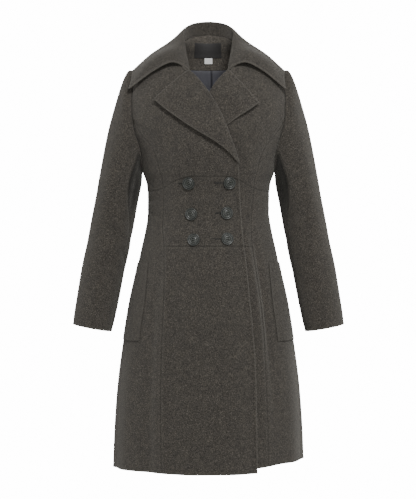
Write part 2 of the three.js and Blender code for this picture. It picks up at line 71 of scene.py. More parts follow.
# Height, half width, depth in front, depth behind
RINGS = [
    (110, 57, 40, 71), (80, 59, 42, 71), (64, 61, 44, 71), (50, 64, 46, 72), (38, 72, 49, 75),
    (25, 91, 55, 80), (5, 121, 65, 87), (-20, 156, 81, 94), (-39, 181, 92, 98), (-75, 193, 108, 104),
    (-110, 201, 119, 107), (-147, 203, 127, 108), (-185, 193, 132, 107), (-220, 177, 132, 104),
    (-250, 166, 128, 100), (-276, 159.5, 123, 96), (-305, 150, 116, 92), (-338, 147.5, 111, 90),
    (-380, 148, 111, 93), (-420, 154, 117, 102), (-458, 162.5, 124, 114), (-520, 175.8, 133, 128),
    (-590, 191.5, 143, 141), (-690, 208, 153, 152), (-800, 222, 162, 162), (-900, 229, 169, 170),
    (-1010, 233, 175, 177),
]
# Angle and height of the neck seam
NECK = [(0, -46), (17, -37), (22.5, -24), (32, -8), (47, 11), (60, 24), (90, 38), (130, 62), (180, 74)]
# Height, and how far the front edge lies past the middle line
EDGE = [
    (-37, -52), (-60, -29), (-90, -6.7), (-122, 12.5), (-157, 29.7), (-188, 41.7), (-224, 55),
    (-254, 65.8), (-287, 69.8), (-334, 72), (-383, 75), (-447, 80), (-499, 86.6), (-580, 94.4),
    (-660, 102), (-723, 107), (-879, 110.4), (-1010, 111.5),
]
# Height, angle of the princess seam on the wearer's right, on the left
PRINCESS = [
    (-157.5, 64, 64), (-178, 58.5, 58.5), (-200, 53.5, 53.5), (-225, 48.6, 48.6), (-258, 46.7, 46.7),
    (-293, 46.2, 46.2), (-325, 46.1, 46.1), (-396, 46.2, 43), (-460, 39.6, 39.8), (-512, 36, 39.9),
    (-567, 33.2, 39.8), (-678, 31.1, 39.1), (-766, 29.9, 37.9), (-1010, 27, 37),
]
# Height, angle of the side-back seam from the centre back
BACK_SEAM = [(-188, 62), (-230, 47), (-290, 39), (-350, 35.5), (-458, 34.5), (-700, 34.5), (-1010, 35)]
# Angle and height of the high-waist seam
HIGH_WAIST = [(0, -291), (11, -291), (28, -299), (41.6, -313.5), (47, -318), (60, -322.5), (90, -325)]
# Angle from centre front, height of the hem on the wearer's right, on the left
HEM = [
    (-30, -984, -980), (0, -985.5, -979), (30, -984.5, -974), (50, -986, -968.5), (70, -989, -969.5),
    (90, -993, -973), (180, -984, -984),
]
# Height, x of the welt's front edge
WELT = [(-496, 142.5), (-547, 146.5), (-601, 151.7), (-639, 157.6), (-682, 162.2)]
# Sleeve rings: centre x, y, z, half width across, half depth
SLEEVE = [
    (215.6, 2, -294, 51.5, 64), (224, 5, -338, 51, 61), (235.2, 7, -397, 51.5, 58),
    (246.2, 6, -456, 51.5, 56), (258.5, 1, -514, 51.3, 53), (270.7, -11, -588, 50, 50),
    (278, -19, -632, 48.5, 49), (281.5, -23, -653, 46.8, 48),
]
SLEEVE_TILT = math.radians(10.6)
# Turn of the front seam at each station, and of the back seam
SLEEVE_FRONT = [128, 126, 122, 118, 126, 150, 156, 158, 158, 158, 158]
SLEEVE_BACK = 240
STATIONS = len(SLEEVE_FRONT) - 1
# Creases across the sleeve: station, turn, slope, depth, width in stations, length in degrees
SLEEVE_CREASES = [
    (5.45, 118, 0.012, -2.6, 0.16, 34), (6.05, 136, 0.016, -2.2, 0.18, 40),
    (4.75, 124, 0.010, -1.6, 0.20, 36), (6.7, 112, -0.010, -1.3, 0.18, 30),
    (5.2, 214, -0.012, -2.0, 0.2, 36), (5.9, 226, 0.010, -1.8, 0.2, 34),
    (5.5, -46, 0.010, -1.6, 0.22, 34), (6.2, -60, -0.008, -1.4, 0.22, 34),
]
# Folds down the sleeve: turn, width in degrees, depth, stations where it starts, is full, ebbs and ends
SLEEVE_RUNS = [
    (62, 17, 1.8, 1.4, 3.0, 4.6, 6.4), (92, 13, -1.6, 1.6, 3.0, 4.4, 5.8),
    (-40, 20, 1.6, 1.8, 3.4, 5.0, 7.5), (146, 16, -5.5, 0.6, 1.8, 3.8, 5.4),
]
# How far the collar's edge is drawn in on the left, at each neck seam angle
COLLAR_TUCK = {70: 2, 40: 4.5, 18: 6.5}
# Neck seam angle, drop behind the roll, then the points of the roll, two of the fall, and the edge
COLLAR = [
    (180, 6, (0, 71, 106), (0, 87, 68), (0, 93, 24), (0, 100, -20)),
    (146, 6, (36, 61, 100), (45, 74, 64), (62, 80, 17), (80, 93, -32)),
    (118, 6, (55, 41, 87), (82, 50, 45), (116, 58, 2), (151, 67, -35)),
    (92, 5, (62, 14, 72), (98, 14, 45), (140, 10, 15), (186, 6, -26)),
    (70, 1, (59.5, -14, 47), (98, -16, 31), (142, -20, 5), (185, -22, -37.5)),
    (40, -4, (54.7, -42, 13), (92, -57, 13), (136, -57, -11), (187, -43, -59)),
    (18, -6, (46, -84, -36.5), (85.7, -83, -17.4), (127, -76, -34.5), (191.5, -57, -78)),
]
# Free edge of each lapel, x and height, then its place across, its rise and its bulge at the roll
LAPEL_FOOT = [(-23.9, -186.4), (1.4, -202), (23.8, -217), (44, -232), (56.5, -244), (61.3, -252.5)]
LAPEL_EDGE = {
    -1: [(-124.5, -110), (-108.5, -125), (-90.8, -140), (-70, -155.3), (-49.7, -170.3)] + LAPEL_FOOT,
    1: [(-114.5, -118.5), (-101, -130), (-86, -140.5), (-66, -154), (-47, -168)] + LAPEL_FOOT,
}
LAPEL_TOP = -41.5
LAPEL_END = -258.8
LAPEL_ACROSS = [0, 0, 0, 0.15, 0.34, 0.55, 0.78, 1]
LAPEL_RISE = [0.6, 3.6, 6.4, 8.2, 9.4, 10.2, 10.6, 10.4]
PROUD_UNDER = [1.8, 0.9, 0, 0, 0, 0, 0, 0]
PROUD_OUTER = [2.4, 3.9, 1.8, 0, 0, 0, 0, 0]
# Angle and height of the two ends of the back's shoulder point
SHOULDER_POINT = [(108.0, 50.0), (92.0, 34.0)]
# Back neck facing and lining: half angle, depth inside the body, and the lining's end and pleat
FACING_HALF = 70
LINING_HALF = 58
INSET = 3.6
LINING_END = -300
PLEAT = 4.0
PLEAT_X = 8.4
# Button: radius, the spin of each in degrees, and the holes' offset from the middle
BUTTON_RADIUS = 15.0
SPIN = (12, -7, 20, 4, -14, 9)
THREAD_AT = 2.3
# Each button's centre x and height, and its lift off the cloth
BUTTONS = [
    (-45.5, -307.4, 1.65), (48.2, -306.4, 1), (-39.5, -381, 1.6),
    (41.8, -378.3, 1.6), (-34.5, -442, 0.3), (43.4, -440, 0.35),
]


def mix(a, b, t):
    return a + (b - a) * t


def smooth(lo, hi, v):
    t = np.clip((v - lo) / (hi - lo), 0, 1)
    return t * t * (3 - 2 * t)


def curve(rows, column=1):
    """Smooth value of one column of a table, without overshoot."""
    rows = sorted(rows, key=lambda row: row[0])
    k = np.array([row[0] for row in rows], float)
    v = np.array([row[column] for row in rows], float)
    s = np.diff(v) / np.diff(k)
    before, after = s[:-1], s[1:]
    both = np.where(before * after > 0, before + after, 1)
    t = np.concatenate([s[:1], np.where(before * after > 0, 2 * before * after / both, 0), s[-1:]])

    def at(x):
        x = np.clip(np.asarray(x, float), k[0], k[-1])
        i = np.clip(np.searchsorted(k, x, side="right") - 1, 0, len(k) - 2)
        h = k[i + 1] - k[i]
        u = (x - k[i]) / h
        u2, u3 = u * u, u * u * u
        return ((2 * u3 - 3 * u2 + 1) * v[i] + (u3 - 2 * u2 + u) * h * t[i]
                + (3 * u2 - 2 * u3) * v[i + 1] + (u3 - u2) * h * t[i + 1])

    return at


def spline(points, at):
    """Centripetal curve through points (count, ..., 3) at places from 0 to 1."""
    p = np.asarray(points, float)
    q = np.concatenate([[2 * p[0] - p[1]], p, [2 * p[-1] - p[-2]]])
    s = np.clip(np.asarray(at, float) * (len(p) - 1), 0, len(p) - 1 - 1e-9)
    i = s.astype(int)
    w = (s - i).reshape((-1,) + (1,) * (p.ndim - 1))
    p0, p1, p2, p3 = q[i], q[i + 1], q[i + 2], q[i + 3]

    def gap(a, b):
        return np.sqrt(np.linalg.norm(a - b, axis=-1, keepdims=True))

    d1 = gap(p1, p2)
    d1 = np.where(d1 < 1e-4, 1, d1)
    d0, d2 = gap(p0, p1), gap(p2, p3)
    d0 = np.where(d0 < 1e-4, d1, d0)
    d2 = np.where(d2 < 1e-4, d1, d2)
    t1 = ((p1 - p0) / d0 - (p2 - p0) / (d0 + d1) + (p2 - p1) / d1) * d1
    t2 = ((p2 - p1) / d1 - (p3 - p1) / (d1 + d2) + (p3 - p2) / d2) * d1
    return p1 + w * (t1 + w * (-3 * p1 + 3 * p2 - 2 * t1 - t2 + w * (2 * p1 - 2 * p2 + t1 + t2)))


def unit(v):
    return v / np.maximum(np.linalg.norm(v, axis=-1, keepdims=True), 1e-9)


half_at, front_at, back_at = curve(RINGS, 1), curve(RINGS, 2), curve(RINGS, 3)
neck_line, edge_at, waist_at = curve(NECK), curve(EDGE), curve(HIGH_WAIST)
hem_of = {-1: curve(HEM, 1), 1: curve(HEM, 2)}
princess = {-1: curve(PRINCESS, 1), 1: curve(PRINCESS, 2)}
back_seam_at, welt_at = curve(BACK_SEAM), curve(WELT)


def neck_at(angle):
    """Neck seam height, rounded off at the centre back."""
    return neck_line(angle) - 1.9 * np.exp(-(180 - np.asarray(angle, float)) / 8)


def angle_at(x, z):
    return np.degrees(np.arcsin(np.clip(x / half_at(z), -1, 1)))


def body(angle, z):
    """Middle of the cloth at an angle and a height, before its folds."""
    r = np.radians(angle)
    c = np.cos(r)
    depth = np.where(c > 0, front_at(z), back_at(z))
    return np.stack(np.broadcast_arrays(half_at(z) * np.sin(r), -depth * c, z), -1)


def body_normal(angle, z):
    across = body(angle + 0.5, z) - body(angle - 0.5, z)
    up = body(angle, z + 1.5) - body(angle, z - 1.5)
    return unit(np.cross(across, up))


# Folds that run down: rows of height, angle, depth, half width toward smaller and larger angles
DOWN = [
    # ridge and trough beside the under front, wearer's left
    [(-395, 35, 0, 12, 6), (-450, 35.5, 2.6, 13, 6), (-560, 36.6, 4.6, 14, 6),
     (-660, 36.4, 4.2, 15, 7), (-780, 35.5, 1.6, 18, 10), (-930, 35, 0, 20, 12)],
    [(-425, 42.8, 0, 4, 12), (-500, 43, -4.2, 4, 12), (-610, 42.8, -5.4, 4, 13),
     (-720, 42.4, -3.2, 6, 16), (-880, 42.4, -1.3, 10, 20), (-1010, 42.6, -0.6, 14, 24)],
    # soft ridge along the right princess seam
    [(-430, -38.6, 0, 9, 9), (-520, -34.3, 1.6, 9, 10), (-700, -29.8, 2.4, 10, 12),
     (-1010, -26.2, 2.8, 12, 15)],
    [(-520, -43, 0, 16, 9), (-640, -40, -2.0, 18, 9), (-820, -37.5, -3.4, 22, 11),
     (-1010, -36.5, -4.2, 25, 12)],
    # centre of the skirt front
    [(-520, 3, 0, 20, 18), (-680, 2.5, -1.8, 22, 20), (-850, 2.2, -3.6, 24, 22), (-1010, 2, -4.6, 26, 24)],
    [(-560, -12, 0, 24, 22), (-760, -12.5, 1.6, 26, 24), (-1010, -13, 3.4, 30, 26)],
    [(-600, 15, 0, 20, 20), (-800, 15.5, 1.4, 22, 22), (-1010, 16, 2.8, 25, 22)],
    # sides
    [(-560, 62, 0, 26, 24), (-760, 60, 2.6, 28, 26), (-1010, 58, 5.0, 32, 28)],
    [(-600, 78, 0, 20, 22), (-800, 77, -2.2, 22, 24), (-1010, 76, -4.4, 26, 26)],
    [(-560, -60, 0, 26, 26), (-780, -59, 2.8, 28, 26), (-1010, -57, 5.0, 32, 30)],
    [(-620, -77, 0, 20, 20), (-800, -76, -2.0, 22, 22), (-1010, -75, -4.2, 24, 24)],
    [(-500, 101, 0, 24, 24), (-700, 103, 2.6, 28, 28), (-1010, 104, 5.2, 34, 32)],
    [(-520, -99, 0, 26, 22), (-720, -102, 2.2, 30, 26), (-1010, -104, 4.8, 34, 32)],
    # back
    [(-420, 180, 0, 22, 22), (-600, 179, -1.6, 26, 26), (-800, 178.5, -3.8, 30, 30),
     (-1010, 178, -5.6, 34, 32)],
    [(-440, 160, 0, 20, 24), (-640, 159, 2.6, 24, 28), (-1010, 158, 5.6, 30, 34)],
    [(-470, -161, 0, 22, 20), (-660, -160, 2.2, 26, 24), (-1010, -159, 5.2, 34, 28)],
    [(-430, 139, 0, 16, 14), (-640, 138, -2.6, 22, 18), (-1010, 136, -5.2, 30, 26)],
    [(-460, -138, 0, 14, 16), (-680, -137, -2.8, 18, 22), (-1010, -136, -5.0, 26, 30)],
    [(-480, 122, 0, 20, 20), (-760, 121, 2.4, 24, 26), (-1010, 120, 4.4, 30, 30)],
    [(-520, -120, 0, 20, 20), (-780, -120, 2.6, 26, 24), (-1010, -119, 4.6, 30, 30)],
    # bust fullness and the hollow beside the roll line
    [(-120, 36, 0, 26, 30), (-185, 35, 2.2, 28, 30), (-250, 34, 1.2, 26, 26), (-300, 33, 0, 24, 24)],
    [(-120, -36, 0, 30, 26), (-185, -35, 2.0, 30, 28), (-250, -34, 1.0, 26, 26), (-300, -33, 0, 24, 24)],
]
# Folds that run round: rows of angle, height, depth, half width below and above
ROUND = [
    # drag lines from the waist toward the sides
    [(-88, -352, 0, 5, 7), (-74, -349, -1.5, 5, 8), (-58, -345, -0.8, 5, 8), (-44, -342, 0, 5, 8)],
    [(-90, -375, 0, 6, 8), (-78, -377, -1.2, 6, 8), (-62, -381, -0.5, 6, 9), (-48, -384, 0, 6, 9)],
    [(52, -347, 0, 5, 8), (66, -350, -1.3, 5, 8), (80, -354, -1.6, 5, 8), (92, -356, 0, 5, 8)],
    [(58, -382, 0, 6, 8), (72, -379, -1.1, 6, 8), (86, -376, -1.3, 6, 9), (96, -375, 0, 6, 9)],
    [(-30, -333, 0, 5, 6), (-10, -337, -0.9, 6, 7), (12, -336, -0.6, 6, 7), (26, -333, 0, 6, 6)],
    # armhole drag lines
    [(40, -196, 0, 9, 6), (52, -178, -1.4, 9, 6), (62, -158, -2.0, 9, 6), (70, -140, 0, 8, 6)],
    [(-70, -142, 0, 8, 6), (-62, -158, -1.8, 9, 6), (-50, -180, -1.2, 9, 6), (-38, -198, 0, 9, 6)],
    # back waist
    [(118, -352, 0, 7, 8), (138, -347, -2.2, 7, 9), (160, -345, -1.0, 7, 9), (176, -344, 0, 7, 9)],
    [(-176, -350, 0, 7, 9), (-158, -352, -1.8, 7, 9), (-138, -356, -2.0, 7, 9), (-118, -360, 0, 7, 9)],
    [(112, -384, 0, 8, 9), (132, -380, -1.4, 8, 9), (154, -379, -0.6, 8, 9), (170, -378, 0, 8, 9)],
    [(-172, -388, 0, 8, 9), (-150, -390, -1.2, 8, 9), (-128, -386, -1.5, 8, 9), (-110, -384, 0, 8, 9)],
]
down_curves = [[curve(rows, c) for c in (1, 2, 3, 4)] for rows in DOWN]
round_curves = [[curve(rows, c) for c in (1, 2, 3, 4)] for rows in ROUND]


def drape(angle, z):
    """Soft folds of the hanging cloth, out along the body, in millimetres."""
    angle, z = np.broadcast_arrays(np.asarray(angle, float), np.asarray(z, float))
    total = np.zeros_like(angle)
    scale = (half_at(z) + front_at(z)) / 2 * math.pi / 180
    for path, depth, low, high in down_curves:
        d = ((angle - path(z) + 180) % 360 - 180) * scale
        total += depth(z) * np.exp(-((d / np.where(d < 0, low(z), high(z))) ** 2))
    for path, depth, low, high in round_curves:
        d = z - path(angle)
        total += depth(angle) * np.exp(-((d / np.where(d < 0, low(angle), high(angle))) ** 2))
    return total


def on_body(angle, z, lift=0.0):
    """Middle of the draped cloth, moved out by lift."""
    move = np.asarray(lift + drape(angle, z))[..., None]
    return body(angle, z) + body_normal(angle, z) * move


def lap_lift(side, angle, z):
    """How far a front stands off where the fronts lap, out on the right and in on the left."""
    x = half_at(z) * np.sin(np.radians(angle)) * -side
    reach = edge_at(z)
    depth = LAP * smooth(-50, -94, z) * mix(1, 0.8, smooth(-257, -320, z))
    return -side * depth * (1 - smooth(reach + 5, reach + 36, -x))


pieces = {}


def add_object(name, data):
    obj = bpy.data.objects.new(name, data)
    bpy.context.scene.collection.objects.link(obj)
    return obj


def add_mesh(name, verts, faces, material, uv=None, extra=None):
    """A smooth mesh from points in millimetres, with its cloth map and its point values."""
    mesh = bpy.data.meshes.new(name)
    mesh.from_pydata((np.asarray(verts) / 1000).tolist(), [], faces)
    mesh.validate()
    mesh.polygons.foreach_set("use_smooth", [True] * len(mesh.polygons))
    if uv is not None:
        layer = mesh.uv_layers.new(name="cloth")
        index = np.zeros(len(mesh.loops), int)
        mesh.loops.foreach_get("vertex_index", index)
        layer.data.foreach_set("uv", (np.asarray(uv)[index] / 1000).ravel())
    for key, values in (extra or {}).items():
        mesh.attributes.new(key, "FLOAT", "POINT").data.foreach_set("value", np.asarray(values, float))
    mesh.materials.append(material)
    pieces[name] = add_object(name, mesh)
    return pieces[name]


def grid_normals(grid):
    du = np.gradient(grid, axis=1)
    dv = np.gradient(grid, axis=0)
    return unit(np.cross(du, dv))


def facing(grid, way):
    """Normals of a grid, turned round where they point against way."""
    normals = grid_normals(grid)
    return -normals if np.sum(normals * way) < 0 else normals


def steps_along(grid, axis):
    """Distance along each row or column of a grid."""
    d = np.linalg.norm(np.diff(grid, axis=axis), axis=-1)
    zero = np.zeros_like(np.take(d, [0], axis=axis))
    return np.cumsum(np.concatenate([zero, d], axis=axis), axis=axis)


def shell(name, grid, material, thickness, n, seams="", edges="", dip=0.55, stitch=0.0, roll=0.0,
          painted_shade=None, shade=None):
    """Thin closed cloth about a grid of middle points with normals n, its edges rounded.

    seams and edges name sides, from start, end, top and low. Cloth turns in by dip at a seam, with painted
    shade in the seam line and a painted highlight on the ridge beside it, and an edge is pressed and rolled,
    with a painted highlight along it. stitch is a sewn row beside each seam. The painted shade values, and
    the shade band of a side, a reach and a strength, darken the cloth where it lies in shadow: painted shade.
    """
    along, down = steps_along(grid, 1), steps_along(grid, 0)
    dist = {"start": along, "end": along[:, -1:] - along, "top": down, "low": down[-1:] - down}
    crease_shade = np.zeros(grid.shape[:2])
    edge_highlight = np.zeros(grid.shape[:2])
    lift = np.zeros(grid.shape[:2])
    for side in seams.split():
        d = dist[side]
        lift -= dip * np.exp(-((d / 2.2) ** 2))
        # Painted shade in the seam line
        crease_shade = np.maximum(crease_shade, np.exp(-((d / 1.0) ** 2)))
        # Painted highlight on the ridge beside the seam
        edge_highlight = np.maximum(edge_highlight, 0.3 * np.exp(-(((d - 3.4) / 1.5) ** 2)))
    for side in edges.split():
        d = dist[side]
        lift += 0.35 * np.exp(-((d / 3.0) ** 2)) - 0.4 * np.exp(-(((d - 6.5) / 2.0) ** 2))
        # Painted highlight along the pressed edge
        edge_highlight = np.maximum(edge_highlight, np.exp(-((d / 1.7) ** 2)))
        if side == "start":
            lift += roll * np.exp(-((d / 5.0) ** 2))
    # Painted shade where the cloth lies in shadow
    painted_shade = np.zeros(crease_shade.shape) if painted_shade is None else painted_shade
    if shade:
        painted_shade = np.maximum(painted_shade, shade[2] * np.exp(-((dist[shade[0]] / shade[1]) ** 2)))
    if stitch:
        for side in seams.split():
            lift -= 0.45 * np.exp(-(((dist[side] - stitch) / 1.3) ** 2))
    grid = grid + n * lift[..., None]
    half = thickness / 2
    rows, cols = grid.shape[:2]
    uv = np.stack([along - along[:, cols // 2:cols // 2 + 1], -down], -1)
    idx = np.arange(rows * cols).reshape(rows, cols)
    loop = np.concatenate([idx[0, :], idx[1:, -1], idx[-1, -2::-1], idx[-2:0:-1, 0]])
    flat, fn, fuv = grid.reshape(-1, 3), n.reshape(-1, 3), uv.reshape(-1, 2)
    p, pn = flat[loop], fn[loop]
    tangent = np.roll(p, -1, 0) - np.roll(p, 1, 0)
    out = unit(np.cross(tangent, pn))
    inward = np.concatenate([grid[1, :], grid[1:, -2], grid[-2, -2::-1], grid[-2:0:-1, 1]]) - p
    if np.sum(out * inward) > 0:
        out = -out
    ends = (("top", cols), ("end", rows - 1), ("low", cols - 1), ("start", rows - 2))
    reach = np.concatenate([np.full(many, MEET if side in seams else half) for side, many in ends])[:, None]
    verts = [flat + fn * half]
    rings = []
    count = rows * cols
    for k in range(1, RIM + 1):
        a = math.pi * k / (RIM + 1)
        verts.append(p + pn * half * math.cos(a) + out * reach * math.sin(a))
        rings.append(count + np.arange(len(loop)))
        count += len(loop)
    low = count + np.arange(rows * cols)
    verts.append(flat - fn * half)
    a, b, c, d = idx[:-1, :-1].ravel(), idx[:-1, 1:].ravel(), idx[1:, 1:].ravel(), idx[1:, :-1].ravel()
    quads = [np.stack([a, b, c, d], 1), np.stack([low[a], low[d], low[c], low[b]], 1)]
    chain = [loop] + rings + [low[loop]]
    for one, two in zip(chain[:-1], chain[1:]):
        quads.append(np.stack([one, two, np.roll(two, -1), np.roll(one, -1)], 1))
    faces = np.concatenate(quads)
    allv = np.concatenate(verts)
    corners = allv[faces]
    if sum(np.sum(corners[:, 0] * np.cross(corners[:, i], corners[:, i + 1])) for i in (1, 2)) < 0:
        faces = faces[:, ::-1]

    def all_round(values):
        return np.concatenate([values] + [values[loop]] * RIM + [values])

    obj = add_mesh(name, allv, faces.tolist(), material, all_round(fuv),
                   {"crease_shade": all_round(crease_shade.ravel()), "edge_highlight": all_round(edge_highlight.ravel()),
                    "painted_shade": all_round(painted_shade.ravel())})
    here = grid[:-1, :-1]
    area = np.linalg.norm(np.cross(grid[1:, :-1] - here, grid[:-1, 1:] - here), axis=-1).sum()
    obj["cut"] = [along[:, -1].max() / 1000, down[-1].max() / 1000, area / 1e6]
    return obj


def spread(count, ends=0.7):
    """Places from 0 to 1, closer together at both ends."""
    t = np.linspace(0, 1, count)
    return mix(t, 0.5 - 0.5 * np.cos(math.pi * t), ends)


def trace(rows, sides, count):
    """Dense boundary from rows of (kind, value): seams are followed exactly between rows of one kind."""
    dense = []
    for (k0, v0), (k1, v1) in zip(rows[:-1], rows[1:]):
        t = np.linspace(0, 1, 24, endpoint=False)
        if k0 == k1:
            dense.append(sides[k0](mix(v0, v1, t)))
        else:
            a = np.array([float(x) for x in sides[k0](np.array(v0, float))])
            b = np.array([float(x) for x in sides[k1](np.array(v1, float))])
            dense.append(tuple(mix(a[i], b[i], t) for i in (0, 1)))
    last = sides[rows[-1][0]](np.array([rows[-1][1]], float))
    dense.append(last)
    a = np.concatenate([np.atleast_1d(x[0]) for x in dense])
    z = np.concatenate([np.atleast_1d(x[1]) for x in dense])
    at = spread(count) * (len(a) - 1)
    place = np.arange(len(a))
    return np.interp(at, place, a), np.interp(at, place, z)


def panel(name, sides, starts, ends, lift, rows, cols, head=None, foot=None, thickness=CLOTH, seams="",
          edges="", pull=None, stitch=0.0, roll=0.0, shade=None):
    """A panel of the body between two boundaries, whose top and foot may follow the lines head and foot."""
    a0, z0 = trace(starts, sides, rows)
    a1, z1 = trace(ends, sides, rows)
    pull = (SEAM / 2 + 0.4 if seams else thickness / 2) if pull is None else pull
    way = np.sign(a1 - a0)
    a0 = a0 + way * pull / np.linalg.norm(body(a0 + 0.5, z0) - body(a0 - 0.5, z0), axis=-1)
    a1 = a1 - way * pull / np.linalg.norm(body(a1 + 0.5, z1) - body(a1 - 0.5, z1), axis=-1)
    t = spread(cols + 1)[None, :]
    angle = mix(a0[:, None], a1[:, None], t)
    z = mix(z0[:, None], z1[:, None], t)
    moves = [(at, np.abs(z - z[row]), z[row].copy()) for at, row in ((head, 0), (foot, -1)) if at is not None]
    for at, away, line in moves:
        z = z + (1 - smooth(0, EASE, away)) * (at(angle) - line)
    z[0] -= pull
    z[-1] += pull
    grid = on_body(angle, z, lift(angle, z))
    shell(name, grid, WOOL, thickness, facing(grid, body_normal(angle, z)), seams, edges,
          stitch=stitch, roll=roll, shade=shade)


def arm_z(turn):
    return ARM_MID + ARM_HALF * np.cos(np.radians(turn))


def arm_angle(turn):
    return 90 - ARM_ANGLE * np.sin(np.radians(turn))


# Materials
class Tree:
    """A material's nodes, with short ways to add and join them."""

    def __init__(self, name):
        self.material = bpy.data.materials.new(name)
        self.material.use_nodes = True
        self.tree = self.material.node_tree
        self.shader = self.tree.nodes["Principled BSDF"]

    def node(self, kind, **values):
        made = self.tree.nodes.new(kind)
        for key, value in values.items():
            if hasattr(made, key):
                setattr(made, key, value)
            else:
                made.inputs[key.replace("_", " ")].default_value = value
        return made

    def link(self, a, b):
        self.tree.links.new(a, b)

    def noise(self, vector, scale, detail=2.0, rough=0.6, distortion=0.0):
        made = self.node("ShaderNodeTexNoise", Scale=scale, Detail=detail, Roughness=rough,
                         Distortion=distortion)
        self.link(vector, made.inputs["Vector"])
        return made.outputs["Fac"]

    def scaled(self, vector, scale):
        made = self.node("ShaderNodeMapping")
        made.inputs["Scale"].default_value = scale
        self.link(vector, made.inputs["Vector"])
        return made.outputs["Vector"]

    def math(self, op, a, b=None, clamp=False):
        made = self.node("ShaderNodeMath", operation=op)
        made.use_clamp = clamp
        for i, value in enumerate((a, b)):
            if value is None:
                continue
            if isinstance(value, (int, float)):
                made.inputs[i].default_value = value
            else:
                self.link(value, made.inputs[i])
        return made.outputs[0]

    def mix(self, fac, a, b, blend="MIX"):
        made = self.node("ShaderNodeMix", data_type="RGBA", blend_type=blend)
        for socket, value in (("Factor", fac), ("A", a), ("B", b)):
            kind = "VALUE" if socket == "Factor" else "RGBA"
            target = [s for s in made.inputs if s.name == socket and s.type == kind][0]
            if isinstance(value, (int, float, tuple)):
                target.default_value = value
            else:
                self.link(value, target)
        return [s for s in made.outputs if s.type == "RGBA"][0]

    def ramp(self, fac, stops):
        made = self.node("ShaderNodeValToRGB")
        band = made.color_ramp
        while len(band.elements) < len(stops):
            band.elements.new(0.5)
        for element, (place, colour) in zip(band.elements, stops):
            element.position = place
            element.color = colour
        self.link(fac, made.inputs["Fac"])
        return made.outputs["Color"]

    def rough(self, source, low, high, start=0.0, end=1.0):
        """Roughness from low to high, as source goes from start to end."""
        made = self.node("ShaderNodeMapRange", From_Min=start, From_Max=end, To_Min=low, To_Max=high)
        self.link(source, made.inputs["Value"])
        self.link(made.outputs["Result"], self.shader.inputs["Roughness"])

    def attribute(self, name):
        return self.node("ShaderNodeAttribute", attribute_name=name).outputs["Fac"]

    def bump(self, height, strength, distance, normal=None):
        made = self.node("ShaderNodeBump", Strength=strength, Distance=distance)
        self.link(height, made.inputs["Height"])
        if normal is not None:
            self.link(normal, made.inputs["Normal"])
        return made.outputs["Normal"]


def rgb(r, g, b):
    """Colour as the shader takes it, from screen values of 0 to 255."""
    shares = (r / 255, g / 255, b / 255)
    lin = [c / 12.92 if c <= 0.04045 else ((c + 0.055) / 1.055) ** 2.4 for c in shares]
    return (*lin, 1.0)


def wool(name, tone):
    """Heathered wool cloth: flecked fibres of several colours, a close twill and a soft nap."""
    t = Tree(name)
    coords = t.node("ShaderNodeTexCoord")
    place, uv = coords.outputs["Object"], coords.outputs["UV"]
    fibre = t.noise(t.scaled(place, (1.0, 1.0, 0.6)), 900, 3.0, 0.65, 0.4)
    fleck = t.noise(place, 480, 3.0, 0.75, 0.2)
    cloud = t.noise(place, 55, 3.0, 0.55)
    tint = t.noise(t.scaled(place, (1.3, 1.3, 1.0)), 190, 2.0, 0.5, 0.3)

    def tone_of(r, g, b):
        return rgb(r * tone, g * tone, b * tone)

    base = t.ramp(fleck, [
        (0.34, tone_of(27, 26, 24)), (0.44, tone_of(51, 49, 45)), (0.50, tone_of(72, 69, 64)),
        (0.56, tone_of(97, 93, 86)), (0.67, tone_of(149, 143, 132)),
    ])
    fine = t.ramp(fibre, [
        (0.34, tone_of(27, 26, 24)), (0.46, tone_of(59, 57, 52)), (0.55, tone_of(89, 85, 79)),
        (0.68, tone_of(151, 145, 134)),
    ])
    colour = t.mix(0.5, base, fine)
    hue = t.ramp(tint, [(0.3, rgb(70, 74, 76)), (0.5, rgb(78, 76, 70)), (0.7, rgb(92, 79, 58))])
    colour = t.mix(0.3, colour, t.mix(1.0, colour, hue, "SOFT_LIGHT"))
    shade = t.ramp(cloud, [(0.3, (0.88, 0.868, 0.895, 1)), (0.7, (1.10, 1.078, 1.07, 1))])
    colour = t.mix(1.0, colour, shade, "MULTIPLY")
    # Painted highlight along pressed edges and the ridges beside seams
    colour = t.mix(t.math("MULTIPLY", t.attribute("edge_highlight"), 0.32), colour, tone_of(112, 108, 101))
    # Painted shade in the seam lines
    colour = t.mix(t.math("MULTIPLY", t.attribute("crease_shade"), 0.36), colour, tone_of(36, 35, 32))
    # Painted shade where the cloth lies in shadow: under the sleeves, at the armholes and by the welts
    colour = t.mix(t.math("MULTIPLY", t.attribute("painted_shade"), 0.90), colour, tone_of(15, 15, 14))
    t.link(colour, t.shader.inputs["Base Color"])
    t.rough(fleck, 0.82, 1.0, 0.2, 0.8)
    t.shader.inputs["Specular IOR Level"].default_value = 0.18
    t.shader.inputs["Sheen Weight"].default_value = 0.26
    t.shader.inputs["Sheen Roughness"].default_value = 0.55
    t.shader.inputs["Sheen Tint"].default_value = (0.62, 0.60, 0.55, 1)
    wave = t.node("ShaderNodeTexWave", wave_type="BANDS", bands_direction="DIAGONAL", Scale=190,
                  Distortion=1.6, Detail=2.0, Detail_Scale=1.6)
    t.link(uv, wave.inputs["Vector"])
    normal = t.bump(wave.outputs["Fac"], 0.30, 0.0006)
    normal = t.bump(fibre, 0.75, 0.0009, normal)
    normal = t.bump(fleck, 0.5, 0.0011, normal)
    t.link(normal, t.shader.inputs["Normal"])
    return t.material


